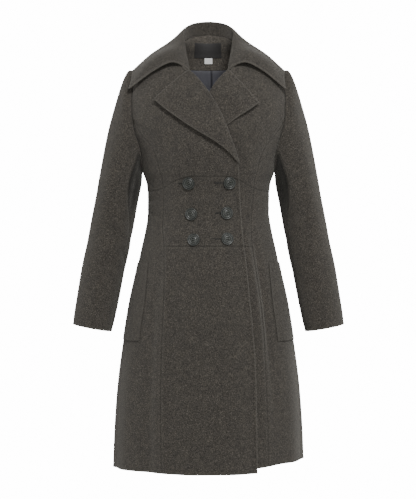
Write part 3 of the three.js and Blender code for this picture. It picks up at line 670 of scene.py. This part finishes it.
def lining_cloth(name):
    """Dark blue-grey lining with a satin sheen and fine crossing threads."""
    t = Tree(name)
    coords = t.node("ShaderNodeTexCoord")
    place, uv = coords.outputs["Object"], coords.outputs["UV"]
    thread = t.noise(t.scaled(uv, (1.0, 7.0, 1.0)), 420, 2.0, 0.5)
    cloud = t.noise(place, 26, 2.0, 0.5)
    colour = t.ramp(thread, [(0.3, rgb(62, 62, 67)), (0.7, rgb(80, 80, 87))])
    cloudy = t.ramp(cloud, [(0.3, (0.85, 0.85, 0.86, 1)), (0.7, (1.1, 1.1, 1.1, 1))])
    colour = t.mix(1.0, colour, cloudy, "MULTIPLY")
    # Painted shade in the top seam and along the pleat's fold
    colour = t.mix(t.math("MULTIPLY", t.attribute("crease_shade"), 0.8), colour, rgb(18, 18, 22))
    t.link(colour, t.shader.inputs["Base Color"])
    t.rough(cloud, 0.38, 0.55)
    t.shader.inputs["Anisotropic"].default_value = 0.5
    t.link(t.bump(thread, 0.25, 0.0003), t.shader.inputs["Normal"])
    return t.material


def woven_tape(name, dark, light):
    """Flat woven label tape: close crossing threads."""
    t = Tree(name)
    uv = t.node("ShaderNodeTexCoord").outputs["UV"]
    threads = []
    for way in ("X", "Y"):
        wave = t.node("ShaderNodeTexWave", bands_direction=way, Scale=1500 / 6.28, Distortion=0.6, Detail=1.0)
        t.link(uv, wave.inputs["Vector"])
        threads.append(wave.outputs["Fac"])
    weave = t.math("MULTIPLY", *threads)
    grain = t.noise(uv, 240, 3.0)
    fac = t.math("ADD", t.math("MULTIPLY", weave, 0.6), t.math("MULTIPLY", grain, 0.4), clamp=True)
    t.link(t.mix(fac, dark, light), t.shader.inputs["Base Color"])
    t.rough(grain, 0.55, 0.8)
    t.link(t.bump(weave, 0.4, 0.0003), t.shader.inputs["Normal"])
    return t.material


def button_resin(name):
    """Dark grey resin with fine turned rings, small scuffs and soft mottling."""
    t = Tree(name)
    place = t.node("ShaderNodeTexCoord").outputs["Object"]
    mottle = t.noise(place, 240, 4.0, 0.6, 0.6)
    scuff = t.noise(t.scaled(place, (1, 1, 4)), 900, 3.0, 0.7)
    colour = t.ramp(mottle, [(0.3, rgb(17, 19, 18)), (0.55, rgb(29, 31, 30)), (0.8, rgb(48, 50, 47))])
    # Painted highlight on the raised rim and ring tops
    colour = t.mix(t.math("MULTIPLY", t.attribute("edge_highlight"), 0.5), colour, rgb(84, 87, 80))
    t.link(colour, t.shader.inputs["Base Color"])
    t.rough(scuff, 0.30, 0.48, 0.3, 0.7)
    t.shader.inputs["Specular IOR Level"].default_value = 0.42
    t.shader.inputs["Coat Weight"].default_value = 0.10
    t.shader.inputs["Coat Roughness"].default_value = 0.2
    t.link(t.bump(scuff, 0.12, 0.0002), t.shader.inputs["Normal"])
    return t.material


def thread_cord(name, colour_a, colour_b):
    """Sewing thread: two plies of near colours."""
    t = Tree(name)
    place = t.node("ShaderNodeTexCoord").outputs["Object"]
    ply = t.noise(t.scaled(place, (3, 1, 1)), 1400, 2.0)
    t.link(t.mix(ply, colour_a, colour_b), t.shader.inputs["Base Color"])
    t.shader.inputs["Roughness"].default_value = 0.75
    t.link(t.bump(ply, 0.5, 0.0002), t.shader.inputs["Normal"])
    return t.material


WOOL = wool("wool_heather", 0.885)
# A lighter copy of the wool for the neck facing, which lies in shade inside the back: painted light
WOOL_IN_PAINTED_LIGHT = wool("wool_facing_painted_light", 1.12)
# A darker copy of the wool for the collar, which faces up into the light: painted shade
WOOL_COLLAR_PAINTED_SHADE = wool("wool_collar_painted_shade", 0.845)
LINING = lining_cloth("lining_satin")
LABEL = woven_tape("label_tape", rgb(36, 35, 35), rgb(62, 60, 59))
TAG = woven_tape("tag_tape", rgb(238, 238, 236), rgb(252, 252, 250))
BUTTON = button_resin("button_resin")
THREAD = thread_cord("sewing_thread", rgb(18, 18, 17), rgb(38, 37, 34))


# Body panels
ROLL_ROWS = [-52, -74, -102, -130, -156, -182, -208, -234, -260]
BUST_ROWS = [-163, -178, -200, -226, -254, -286]
BACK_ROWS = [-210, -235, -258, -279, -325, LOW_WAIST]
CENTRE_ROWS = [74, 58, 36, 12, -20, -55, -95, -135, -175] + BACK_ROWS


def rows_of(kind, values):
    """Rows of one kind for a panel's boundary."""
    return [(kind, value) for value in values]


def body_panels(side):
    """Bodice, midriff, skirt, welt and back of one side, each between two of its seams."""
    word, seam, hem_at = WORD[side], princess[side], hem_of[side]

    def edge_angle(z):
        return -angle_at(edge_at(z), z)

    def point(i):
        angle, z = np.array(SHOULDER_POINT)[np.asarray(i, int)].T
        return side * angle, z

    sides = {
        "neck": lambda a: (side * a, neck_at(a)),
        "edge": lambda z: (side * edge_angle(z), z),
        "seam": lambda z: (side * seam(z), z),
        "side": lambda z: (side * 90 + 0 * z, z),
        "arm": lambda t: (side * arm_angle(t), arm_z(t)),
        "arm_back": lambda t: (side * (180 - arm_angle(t)), arm_z(t)),
        "back": lambda z: (side * (180 - back_seam_at(z)), z),
        "centre": lambda z: (side * 180 + 0 * z, z),
        "point": point,
        "front": lambda z: (side * angle_at(welt_at(z), z), z),
        "behind": lambda z: (side * WELT_BACK + 0 * z, z),
    }

    def lift(angle, z):
        return lap_lift(side, angle, z)

    def flat(angle, z):
        return np.zeros_like(angle)

    def proud(angle, z):
        return WELT_LIFT + np.zeros_like(angle)

    def waist(angle):
        return waist_at(np.abs(angle))

    def hem(angle):
        return hem_at(np.where(np.abs(angle) > 90, np.abs(angle), side * angle))

    hem_edge, hem_seam = float(hem_at(edge_angle(-980))), float(hem_at(seam(-980)))
    hem_side, hem_back = float(hem_at(90)), float(hem_at(180 - back_seam_at(-980)))
    seam_waist = float(waist_at(seam(-318)))
    edge_waist = float(waist_at(abs(edge_angle(-291))))
    roll = EDGE_ROLL[side]
    panel(f"bodice_front_{word}_cloth", sides,
          rows_of("neck", (70, 49, 32, 18)) + rows_of("edge", ROLL_ROWS + [edge_waist]),
          rows_of("side", (33, 5, -18)) + rows_of("arm", (8, 40, 62, 88))
          + rows_of("seam", BUST_ROWS + [seam_waist]),
          lift, 96, 60, foot=waist, seams="top end low", edges="start", roll=roll)
    # Painted shade along the armhole, where the side lies in the sleeve's shadow
    panel(f"bodice_side_{word}_cloth", sides,
          rows_of("seam", BUST_ROWS + [seam_waist]),
          rows_of("arm", (97, 112, 128, 146, 165)) + rows_of("side", (-279, -325)),
          flat, 60, 30, foot=waist, seams="start end low", shade=("end", 8, 0.5))
    panel(f"midriff_{word}_cloth", sides,
          rows_of("edge", (edge_waist, LOW_WAIST)), rows_of("seam", (seam_waist, LOW_WAIST)),
          lift, 52, 64, head=waist, seams="top end low", edges="start", stitch=MIDRIFF_STITCH, roll=roll)
    panel(f"skirt_front_{word}_cloth", sides,
          rows_of("edge", (LOW_WAIST, hem_edge)), rows_of("seam", (LOW_WAIST, hem_seam)),
          lift, 110, 64, foot=hem, seams="top end", edges="start low", roll=roll)
    panel(f"skirt_side_{word}_cloth", sides,
          rows_of("seam", (seam_waist, LOW_WAIST, hem_seam)), rows_of("side", (-325, LOW_WAIST, hem_side)),
          lift, 130, 44, head=waist, foot=hem, seams="start end top", edges="low")
    # Painted shadow along the welt's front edge
    panel(f"pocket_welt_{word}_cloth", sides,
          rows_of("front", (WELT_TOP, WELT_FOOT)), rows_of("behind", (WELT_TOP, WELT_FOOT)),
          proud, 50, 18, thickness=WELT_CLOTH, edges="start", pull=0.6, shade=("start", 1.4, 0.3))
    panel(f"side_back_{word}_cloth", sides,
          rows_of("arm_back", (110, 124, 140, 158)) + rows_of("side", (-279, -325, LOW_WAIST, hem_side)),
          rows_of("back", [-193] + BACK_ROWS + [hem_back]),
          flat, 150, 40, foot=hem, seams="start end top", edges="low")
    panel(f"back_{word}_cloth", sides,
          rows_of("centre", CENTRE_ROWS + [float(hem_at(180.0))]),
          rows_of("point", (0, 1)) + rows_of("side", (5, -18)) + rows_of("arm_back", (8, 40, 60, 78, 96))
          + rows_of("back", BACK_ROWS + [hem_back]),
          flat, 170, 44, foot=hem, seams="start end top", edges="low")


# Sleeves
front_seam = curve(list(enumerate(SLEEVE_FRONT)))


def back_seam(s):
    return SLEEVE_BACK + 0 * s


def back_seam_over(s):
    return SLEEVE_BACK - 360 + 0 * s


def arm_grid(turn, s):
    """Sleeve points for turns and stations, in the shape (stations, turns, 3), as on the left."""
    c, sn = np.cos(np.radians(turn)), np.sin(np.radians(turn))
    angle = np.where(sn >= 0, arm_angle(turn), 180 - arm_angle(-turn))
    at = body(angle, arm_z(turn))
    low = (1 - c) / 2
    start = at + np.stack([0.7 + 0.5 * low, 0 * c, 0 * c], -1)
    crown = (1 - low) ** 5
    cap = np.stack([at[..., 0] + 3 + 21.5 * (1 - low) ** 1.4 - 12 * crown, at[..., 1] * 1.08,
                    at[..., 2] - 6 * (1 - low) + 18.5 * crown], -1)
    rings = [np.stack([x + h * c * math.cos(SLEEVE_TILT), y - d * sn, z + h * c * math.sin(SLEEVE_TILT)], -1)
             for x, y, z, h, d in SLEEVE]
    bend = mix(cap, rings[0], 0.45)
    bend[..., 0] += (6 + 4.5 * crown) * np.maximum(0, c)
    bend[..., 1] *= 1.05
    return spline([start, cap, bend] + rings, s / STATIONS)


def sleeve_fold(side, turn, s):
    """Soft folds of the sleeve, in millimetres, by turn and station."""
    turn = np.mod(turn + 120, 360) - 120
    # Pressed line down the forearm
    total = 1.3 * smooth(5.6, 6.6, s) * np.exp(-(((turn - 86) / 5) ** 2))
    total -= 1.0 * smooth(5.6, 6.8, s) * np.exp(-(((turn - 100) / 8) ** 2))
    # Creases inside and behind the elbow
    for at, middle, slope, depth, wide, long in SLEEVE_CREASES:
        line = at + slope * (turn - middle)
        total += depth * np.exp(-(((s - line) / wide) ** 2)) * np.exp(-(((turn - middle) / long) ** 2))
    # Hang from the cap, and the trough beside the body
    for middle, wide, depth, start, full, ebb, end in SLEEVE_RUNS:
        length = smooth(start, full, s) * (1 - smooth(ebb, end, s))
        total += depth * length * np.exp(-(((turn - middle) / wide) ** 2))
    # Waves of the cuff, and the eased head
    total += 0.8 * smooth(7.2, 9.6, s) * np.cos(np.radians(turn * 3 + 40 * side))
    total += 4.2 * np.exp(-(((s - 0.5) / 0.28) ** 2)) * np.exp(-((turn / 26) ** 2))
    return total


def sleeve(name, side, from_at, to_at, cols):
    """One panel of a sleeve, between two of its seams."""
    rows = 130
    s = mix(0.012, 9.985, spread(rows, 0.35))
    turn = mix(from_at(s)[:, None] + 0.6, to_at(s)[:, None] - 0.6, spread(cols + 1)[None, :])
    grid = np.stack([arm_grid(turn[i], s[i:i + 1])[0] for i in range(rows)])
    normals = facing(grid, grid - grid.mean(axis=1, keepdims=True))
    grid = grid + normals * sleeve_fold(side, turn, s[:, None] + 0 * turn)[..., None]
    grid[..., 0] *= side
    normals[..., 0] *= side
    # Painted shade on the under sleeve beside the body and round the underarm, where it lies in shadow
    under_sleeve_shade = smooth(0.3, 1.4, s)[:, None] * (1 - smooth(3.6, 5.8, s))[:, None]
    under_sleeve_shade = under_sleeve_shade * smooth(0, 3.5, turn - front_seam(s)[:, None]) * (1 - smooth(196, 215, turn))
    near = 0.55 * np.exp(-((s / 0.22) ** 2))[:, None] * smooth(30, 100, turn) * (1 - smooth(190, 230, turn))
    shell(name, grid, WOOL, CLOTH, facing(grid, normals), "start end top", "low", dip=0.7,
          painted_shade=np.maximum(under_sleeve_shade, near))


def armhole_allowance(side):
    """Seam allowance turned into the sleeve head, behind the armhole seam."""
    turn = np.linspace(0, 360, 121)[:, None]
    sn = np.sin(np.radians(turn))
    angle = np.where(sn >= 0, arm_angle(turn), 180 - arm_angle(-turn))
    ring = body(angle, arm_z(turn))[:, 0]
    middle = np.array([ring[:, 0].mean(), ring[:, 1].mean(), ARM_MID])
    inward = unit((middle - ring) * [0, 1, 1])
    # Along the arm, and in from the seam
    steps = np.array([[-7.0, 3.2], [-3.0, 3.0], [0.5, 2.9], [4.0, 3.0], [8.0, 3.4]])
    band = ring[:, None, :] + inward[:, None, :] * steps[None, :, 1:2]
    band = band + np.array([1.0, 0, 0]) * steps[None, :, :1]
    band[..., 0] *= side
    shell(f"armhole_allowance_{WORD[side]}", band, WOOL, THIN_CLOTH, grid_normals(band))


# Lapels
def lapel(side):
    """The turned-back front edge, from its roll line out to its free edge."""
    tips = np.array([(x, 0, z) for x, z in LAPEL_EDGE[side]], float)
    fine = spline(tips, np.linspace(0, 1, 2001))
    length = steps_along(fine[None], 1)[0]
    control = []
    for z in [LAPEL_TOP] + ROLL_ROWS[:-1] + [LAPEL_END]:
        t = (z - LAPEL_TOP) / (LAPEL_END - LAPEL_TOP)
        roll_x = float(edge_at(z))
        tip_x, tip_z = [np.interp(t * length[-1], length, fine[:, k]) for k in (0, 2)]
        # The last row draws in to half its width
        tip_x = mix(tip_x, roll_x - 2.5, 0.5 if t == 1 else 0)
        flatter = mix(0.62, 1, 1 - float(smooth(0.62, 1, t)))
        line = []
        for j, v in enumerate(LAPEL_ACROSS):
            x, height = mix(roll_x, tip_x, v), mix(z, tip_z, v)
            base = float(lap_lift(side, side * -angle_at(x, height), height))
            rise = LAPEL_RISE[j] * flatter
            free = 1 if side < 0 else 1 + base / LAP
            angle = -side * angle_at(x + mix(PROUD_UNDER[j], PROUD_OUTER[j], free), height)
            if side < 0:
                off = base + rise
            else:
                # The under lapel lies flat where the outer front covers it
                cover = float(edge_at(height))
                above = 0 if j < 2 else base + CLOTH + 0.5
                off = max(rise * float(smooth(cover + 20, cover + 50, -x)), above)
            line.append(on_body(np.array(angle), np.array(height), off))
        control.append(line)
    rough = spline(np.array(control), spread(84, 0.3))
    grid = np.swapaxes(spline(np.swapaxes(rough, 0, 1), spread(60, 0.5)), 0, 1)
    normals = facing(grid, body_normal(np.array(0.0), np.array(-150.0)))
    shell(f"lapel_{WORD[side]}_cloth", grid, WOOL, LAPEL_CLOTH, normals, "", "end top")


for side in (-1, 1):
    body_panels(side)
    sleeve(f"top_sleeve_{WORD[side]}_cloth", side, back_seam_over, front_seam, 84)
    sleeve(f"under_sleeve_{WORD[side]}_cloth", side, front_seam, back_seam, 44)
    armhole_allowance(side)
    lapel(side)


# Collar
def neck_seam(a):
    return body(a, neck_at(a))


def neck_foot(a):
    """Where the collar stand meets the neck seam, just clear of the panels."""
    a = np.asarray(a, float)
    off = 1.2 + 1.6 * smooth(75, 45, a)
    along = neck_seam(np.minimum(a + 1, 180)) - neck_seam(a - 1)
    out = unit(np.cross(along, body_normal(a, neck_at(a))))
    out = np.where((out[..., 2] - out[..., 0] < 0)[..., None], -out, out)
    return neck_seam(a) + out * off[..., None]


def collar_line(row, side):
    """Points across the collar at one angle, from the neck seam over the roll to the edge."""
    a, drop = row[:2]
    roll, f1, f2, edge = [np.array(p, float) for p in row[2:]]
    foot = neck_foot(a)
    shoulder = roll + unit((f1 - roll) * [1, 1, 0]) * 8
    shoulder[2] = roll[2] - drop
    edge[0] -= COLLAR_TUCK.get(a, 0) if side > 0 else 0
    line = np.array([foot, mix(foot, roll, 0.6), roll, shoulder, f1, f2, edge])
    line[:, 0] *= side
    return line


def collar():
    """Stand, roll and leaf in one piece, from the right end round the back to the left end."""
    along = 190
    stations = [(row, -1) for row in COLLAR[::-1]] + [(row, 1) for row in COLLAR[1:]]
    t = spread(along, 0.35)
    section = spline(np.array([collar_line(row, side) for row, side in stations]), t)
    turn_at = curve([(k, row[0]) for k, row in enumerate(COLLAR)])
    at = t * (len(stations) - 1) - (len(COLLAR) - 1)
    section[:, 0] = neck_foot(turn_at(np.abs(at)))
    section[:, 0, 0] *= np.where(at < 0, -1, 1)
    section[:, 1] = mix(section[:, 0], section[:, 2], 0.6)
    grid = np.swapaxes(spline(np.swapaxes(section, 0, 1), spread(52, 0.3)), 0, 1)
    normals = grid_normals(grid)
    if normals[along // 2, -10, 1] < 0:
        normals = -normals
    shell("collar_cloth", grid, WOOL_COLLAR_PAINTED_SHADE, COLLAR_CLOTH, normals, "", "top low end")


collar()


# Inside of the neck
def vertices(obj):
    flat = np.zeros(len(obj.data.vertices) * 3)
    obj.data.vertices.foreach_get("co", flat)
    return flat.reshape(-1, 3)


def inside_piece(name, top, bottom, half, thickness, material, pleat=0.0, rows=40, cols=70, seams=""):
    """Cloth inside the back, between two lines that are functions of the angle."""
    angle = 180 + half * (2 * np.linspace(0, 1, cols + 1) - 1)[None, :] + np.zeros((rows, 1))
    z = mix(top(angle), bottom(angle), np.linspace(0, 1, rows)[:, None])
    fold = pleat * np.clip((angle - 177.3) / 0.9, 0, 1) * np.clip((189 - angle) / 9, 0, 1)
    grid = on_body(angle, z, -INSET - fold)
    return shell(name, grid, material, thickness, facing(grid, -body_normal(angle, z)), seams, dip=0.5)


def facing_top(angle):
    return neck_at(180 - np.abs(angle - 180)) - 0.8


def facing_foot(angle):
    return -12 + 8 * (np.abs(angle - 180) / 60) ** 2


def lining_top(angle):
    return facing_foot(angle) - 1


def lining_end(angle):
    return LINING_END + 0 * angle


inside_piece("back_neck_facing_cloth", facing_top, facing_foot, FACING_HALF, FACING_CLOTH, WOOL_IN_PAINTED_LIGHT,
             seams="low")
lining = inside_piece("back_lining_cloth", lining_top, lining_end, LINING_HALF, THIN_CLOTH, LINING,
                      pleat=PLEAT, rows=60, cols=200, seams="top")
# Painted shadow line down the fold of the pleat
pleat_shadow = np.exp(-(((vertices(lining)[:, 0] * 1000 - PLEAT_X) / 1.9) ** 2))
lining.data.attributes["crease_shade"].data.foreach_set("value", pleat_shadow.astype(float))


def inside_tag(name, x0, x1, z0, z1, inset, material):
    """A flat tape on the back neck facing."""
    x = np.linspace(x0, x1, 30)[None, :] + np.zeros((18, 1))
    z = np.linspace(z1, z0, 18)[:, None] + np.zeros((1, 30))
    angle = 180 - angle_at(x, z)
    grid = on_body(angle, z, -inset)
    shell(name, grid, material, TAPE, facing(grid, -body_normal(angle, z)))


inside_tag("neck_label_cloth", -37, 34, 19, 52, 5.7, LABEL)
inside_tag("size_tag_cloth", -10, 10, 4.5, 18, 5.8, TAG)


# Buttons
def button_mesh():
    """A turned button with a raised ring, a domed middle and four holes, its back at height 0."""
    r = BUTTON_RADIUS
    profile = [
        (0, 0), (r - 2.4, 0), (r - 0.9, 0.5), (r, 1.5), (r - 0.2, 2.4), (r - 0.8, 3.1), (r - 1.7, 3.25),
        (r - 2.6, 2.8), (r - 3.4, 2.2), (r - 4.2, 2.5), (r - 5.0, 3.4), (r - 5.8, 3.7), (r - 6.6, 3.3),
        (r - 7.4, 2.6), (r - 8.2, 2.6), (r - 9.1, 3.2), (r - 10.3, 3.5), (r - 12.6, 3.5), (0, 3.4),
    ]
    n = 64
    verts = [(0, 0, profile[0][1])]
    for x, y in profile[1:-1]:
        for k in range(n):
            a = 2 * math.pi * k / n
            verts.append((x * math.cos(a), x * math.sin(a), y))
    verts.append((0, 0, profile[-1][1]))
    faces = [(0, 1 + (k + 1) % n, 1 + k) for k in range(n)]
    for i in range(len(profile) - 3):
        for k in range(n):
            a, b = 1 + i * n + k, 1 + i * n + (k + 1) % n
            faces.append((a, b, b + n, a + n))
    last = 1 + (len(profile) - 3) * n
    faces += [(len(verts) - 1, last + k, last + (k + 1) % n) for k in range(n)]
    # Raised ring tops, which get a painted highlight
    rim = [min(1.0, max(0.0, v[2] - 2.7) / 0.7) for v in verts]
    disc = add_mesh("button_form", np.array(verts), faces, BUTTON, None, {"edge_highlight": rim})
    cutters = []
    for x, y in ((1, 1), (1, -1), (-1, 1), (-1, -1)):
        bpy.ops.mesh.primitive_cylinder_add(
            vertices=20, radius=0.00115, depth=0.012,
            location=(THREAD_AT / 1000 * x, THREAD_AT / 1000 * y, 0.002))
        cutters.append(bpy.context.object)
        made = disc.modifiers.new("hole", "BOOLEAN")
        made.operation = "DIFFERENCE"
        made.solver = "EXACT"
        made.object = cutters[-1]
    graph = bpy.context.evaluated_depsgraph_get()
    graph.update()
    result = bpy.data.meshes.new_from_object(disc.evaluated_get(graph))
    for cutter in cutters:
        bpy.data.objects.remove(cutter)
    bpy.data.objects.remove(disc)
    del pieces["button_form"]
    return result


def tube(name, points, radius, material, closed=False):
    """A thread laid along points, in millimetres."""
    data = bpy.data.curves.new(name, "CURVE")
    data.dimensions = "3D"
    data.bevel_depth = radius / 1000
    data.bevel_resolution = 2
    data.use_fill_caps = True
    line = data.splines.new("POLY")
    line.points.add(len(points) - 1)
    for point, place in zip(line.points, points):
        point.co = (*[c / 1000 for c in place], 1)
    line.use_cyclic_u = closed
    holder = add_object(name + "_line", data)
    graph = bpy.context.evaluated_depsgraph_get()
    mesh = bpy.data.meshes.new_from_object(holder.evaluated_get(graph))
    bpy.data.objects.remove(holder)
    mesh.materials.clear()
    mesh.materials.append(material)
    return mesh


def join(name, meshes):
    """One piece from several meshes."""
    objects = [add_object(name, mesh) for mesh in meshes]
    bpy.ops.object.select_all(action="DESELECT")
    for obj in objects:
        obj.select_set(True)
    bpy.context.view_layer.objects.active = objects[0]
    if len(objects) > 1:
        bpy.ops.object.join()
    made = bpy.context.view_layer.objects.active
    made.name = name
    made.data.name = name
    pieces[name] = made
    return made


def front_point(x, z, off):
    """A point on the outer front, off its outer face, and the angle there."""
    angle = angle_at(x, z)
    lift = float(lap_lift(-1, angle, z)) + CLOTH / 2 + off
    return on_body(np.array(angle), np.array(z), lift), angle


form = button_mesh()
for i, (x, z, off) in enumerate(BUTTONS):
    place, angle = front_point(x, z, off)
    way = body_normal(np.array(angle), np.array(float(z)))
    turn = Vector((0, 0, 1)).rotation_difference(Vector(way.tolist())).to_matrix().to_4x4()
    spin = Matrix.Rotation(math.radians(SPIN[i]), 4, "Z")
    where = Matrix.Translation(Vector((place / 1000).tolist())) @ turn @ spin
    mesh = form.copy()
    mesh.transform(where)
    pieces[f"button_{i + 1}_resin"] = add_object(f"button_{i + 1}_resin", mesh)
    # Two runs of doubled thread, each down through a pair of holes
    threads = []
    half_run = [(THREAD_AT, 0.9), (THREAD_AT - 0.05, 3.3), (1.6, 3.85)]
    run = [(-px, pz) for px, pz in half_run] + [(0, 4.0)] + half_run[::-1]
    for y in (-THREAD_AT, THREAD_AT):
        for shift in (-0.32, 0.32):
            threads.append(tube("thread", [(px, y + shift, pz) for px, pz in run], 0.36, THREAD))
    for thread in threads:
        thread.transform(where)
    join(f"button_{i + 1}_thread", threads)

# Buttonholes beside the fastened buttons on the outer front: button, length
HOLES = [(1, 35), (3, 27), (5, 30), (0, 24)]
for number, length in HOLES:
    bx, bz = BUTTONS[number][:2]
    points = []
    for k in range(26):
        a = 2 * math.pi * k / 26
        width = 1.25 if math.cos(a) < 0 else 1.7
        x = bx - length / 2 + length / 2 * math.cos(a)
        points.append(front_point(x, bz + width * math.sin(a), 0.05)[0])
    join(f"buttonhole_{number + 1}_thread", [tube("hole", points, 0.75, THREAD, closed=True)])


# Attach each piece, and hide the part that it stands for
for name, obj in pieces.items():
    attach(obj, "root")
    node, finish = name.rsplit("_", 1)
    if finish == "cloth":
        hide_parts(node)
    elif finish == "resin":
        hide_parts(node)
    if "cut" in obj:
        width, length, area = obj["cut"]
        del obj["cut"]


# Stage, light and camera
def stage_material():
    """Pale floor with a faint mottle."""
    t = Tree("pale_floor")
    place = t.node("ShaderNodeTexCoord").outputs["Object"]
    grain = t.noise(place, 6, 3.0)
    pale = t.ramp(grain, [(0.3, (0.80, 0.80, 0.79, 1)), (0.7, (0.84, 0.84, 0.83, 1))])
    t.link(pale, t.shader.inputs["Base Color"])
    t.shader.inputs["Roughness"].default_value = 0.85
    return t.material


FLOOR_RADIUS = 1.5
FLOOR_Z = -1.45
SOFT_STRENGTH = 0.32
SEEN_STRENGTH = 15.0
bpy.ops.mesh.primitive_circle_add(vertices=96, radius=FLOOR_RADIUS, fill_type="NGON",
                                  location=(0, 0, FLOOR_Z))
floor = bpy.context.object
floor.name = "floor"
floor.data.materials.append(stage_material())

# The coat is lit by a soft grey studio, and the camera sees plain white behind it
world = bpy.data.worlds.new("studio")
bpy.context.scene.world = world
world.use_nodes = True
tree = world.node_tree
soft = tree.nodes["Background"]
soft.inputs["Color"].default_value = (1, 1, 1, 1)
soft.inputs["Strength"].default_value = SOFT_STRENGTH
seen = tree.nodes.new("ShaderNodeBackground")
seen.inputs["Color"].default_value = (1, 1, 1, 1)
seen.inputs["Strength"].default_value = SEEN_STRENGTH
path = tree.nodes.new("ShaderNodeLightPath")
both = tree.nodes.new("ShaderNodeMixShader")
tree.links.new(path.outputs["Is Camera Ray"], both.inputs["Fac"])
tree.links.new(soft.outputs["Background"], both.inputs[1])
tree.links.new(seen.outputs["Background"], both.inputs[2])
tree.links.new(both.outputs["Shader"], tree.nodes["World Output"].inputs["Surface"])

# Name, place, target, size and power of each light
LIGHTS = [
    ("key", (0.5, -2.3, 1.6), (0, 0, -0.35), (0.8, 0.6), 68),
    ("fill_front", (0.2, -3.4, -0.5), (0, 0, -0.4), (1.0, 1.0), 26),
    ("rim_left", (-2.3, 0.2, 0.4), (0, 0, -0.4), (0.8, 1.8), 15),
    ("rim_right", (2.3, 0.2, 0.4), (0, 0, -0.4), (0.8, 1.8), 13),
    ("back_fill", (0.2, 2.6, 1.3), (0, 0, -0.4), (1.6, 1.4), 40),
]
for name, place, target, size, power in LIGHTS:
    data = bpy.data.lights.new(name, "AREA")
    data.shape = "RECTANGLE"
    data.size, data.size_y = size
    data.energy = power
    light = add_object(name, data)
    light.location = place
    light.rotation_euler = (Vector(target) - Vector(place)).to_track_quat("-Z", "Y").to_euler()

camera_data = bpy.data.cameras.new("camera")
camera_data.lens = 88.34
camera_data.sensor_width = 36
camera = add_object("camera", camera_data)
camera.location = (-0.0012, -3.0, -0.464)
camera.rotation_euler = (math.pi / 2, 0, 0)
bpy.context.scene.camera = camera
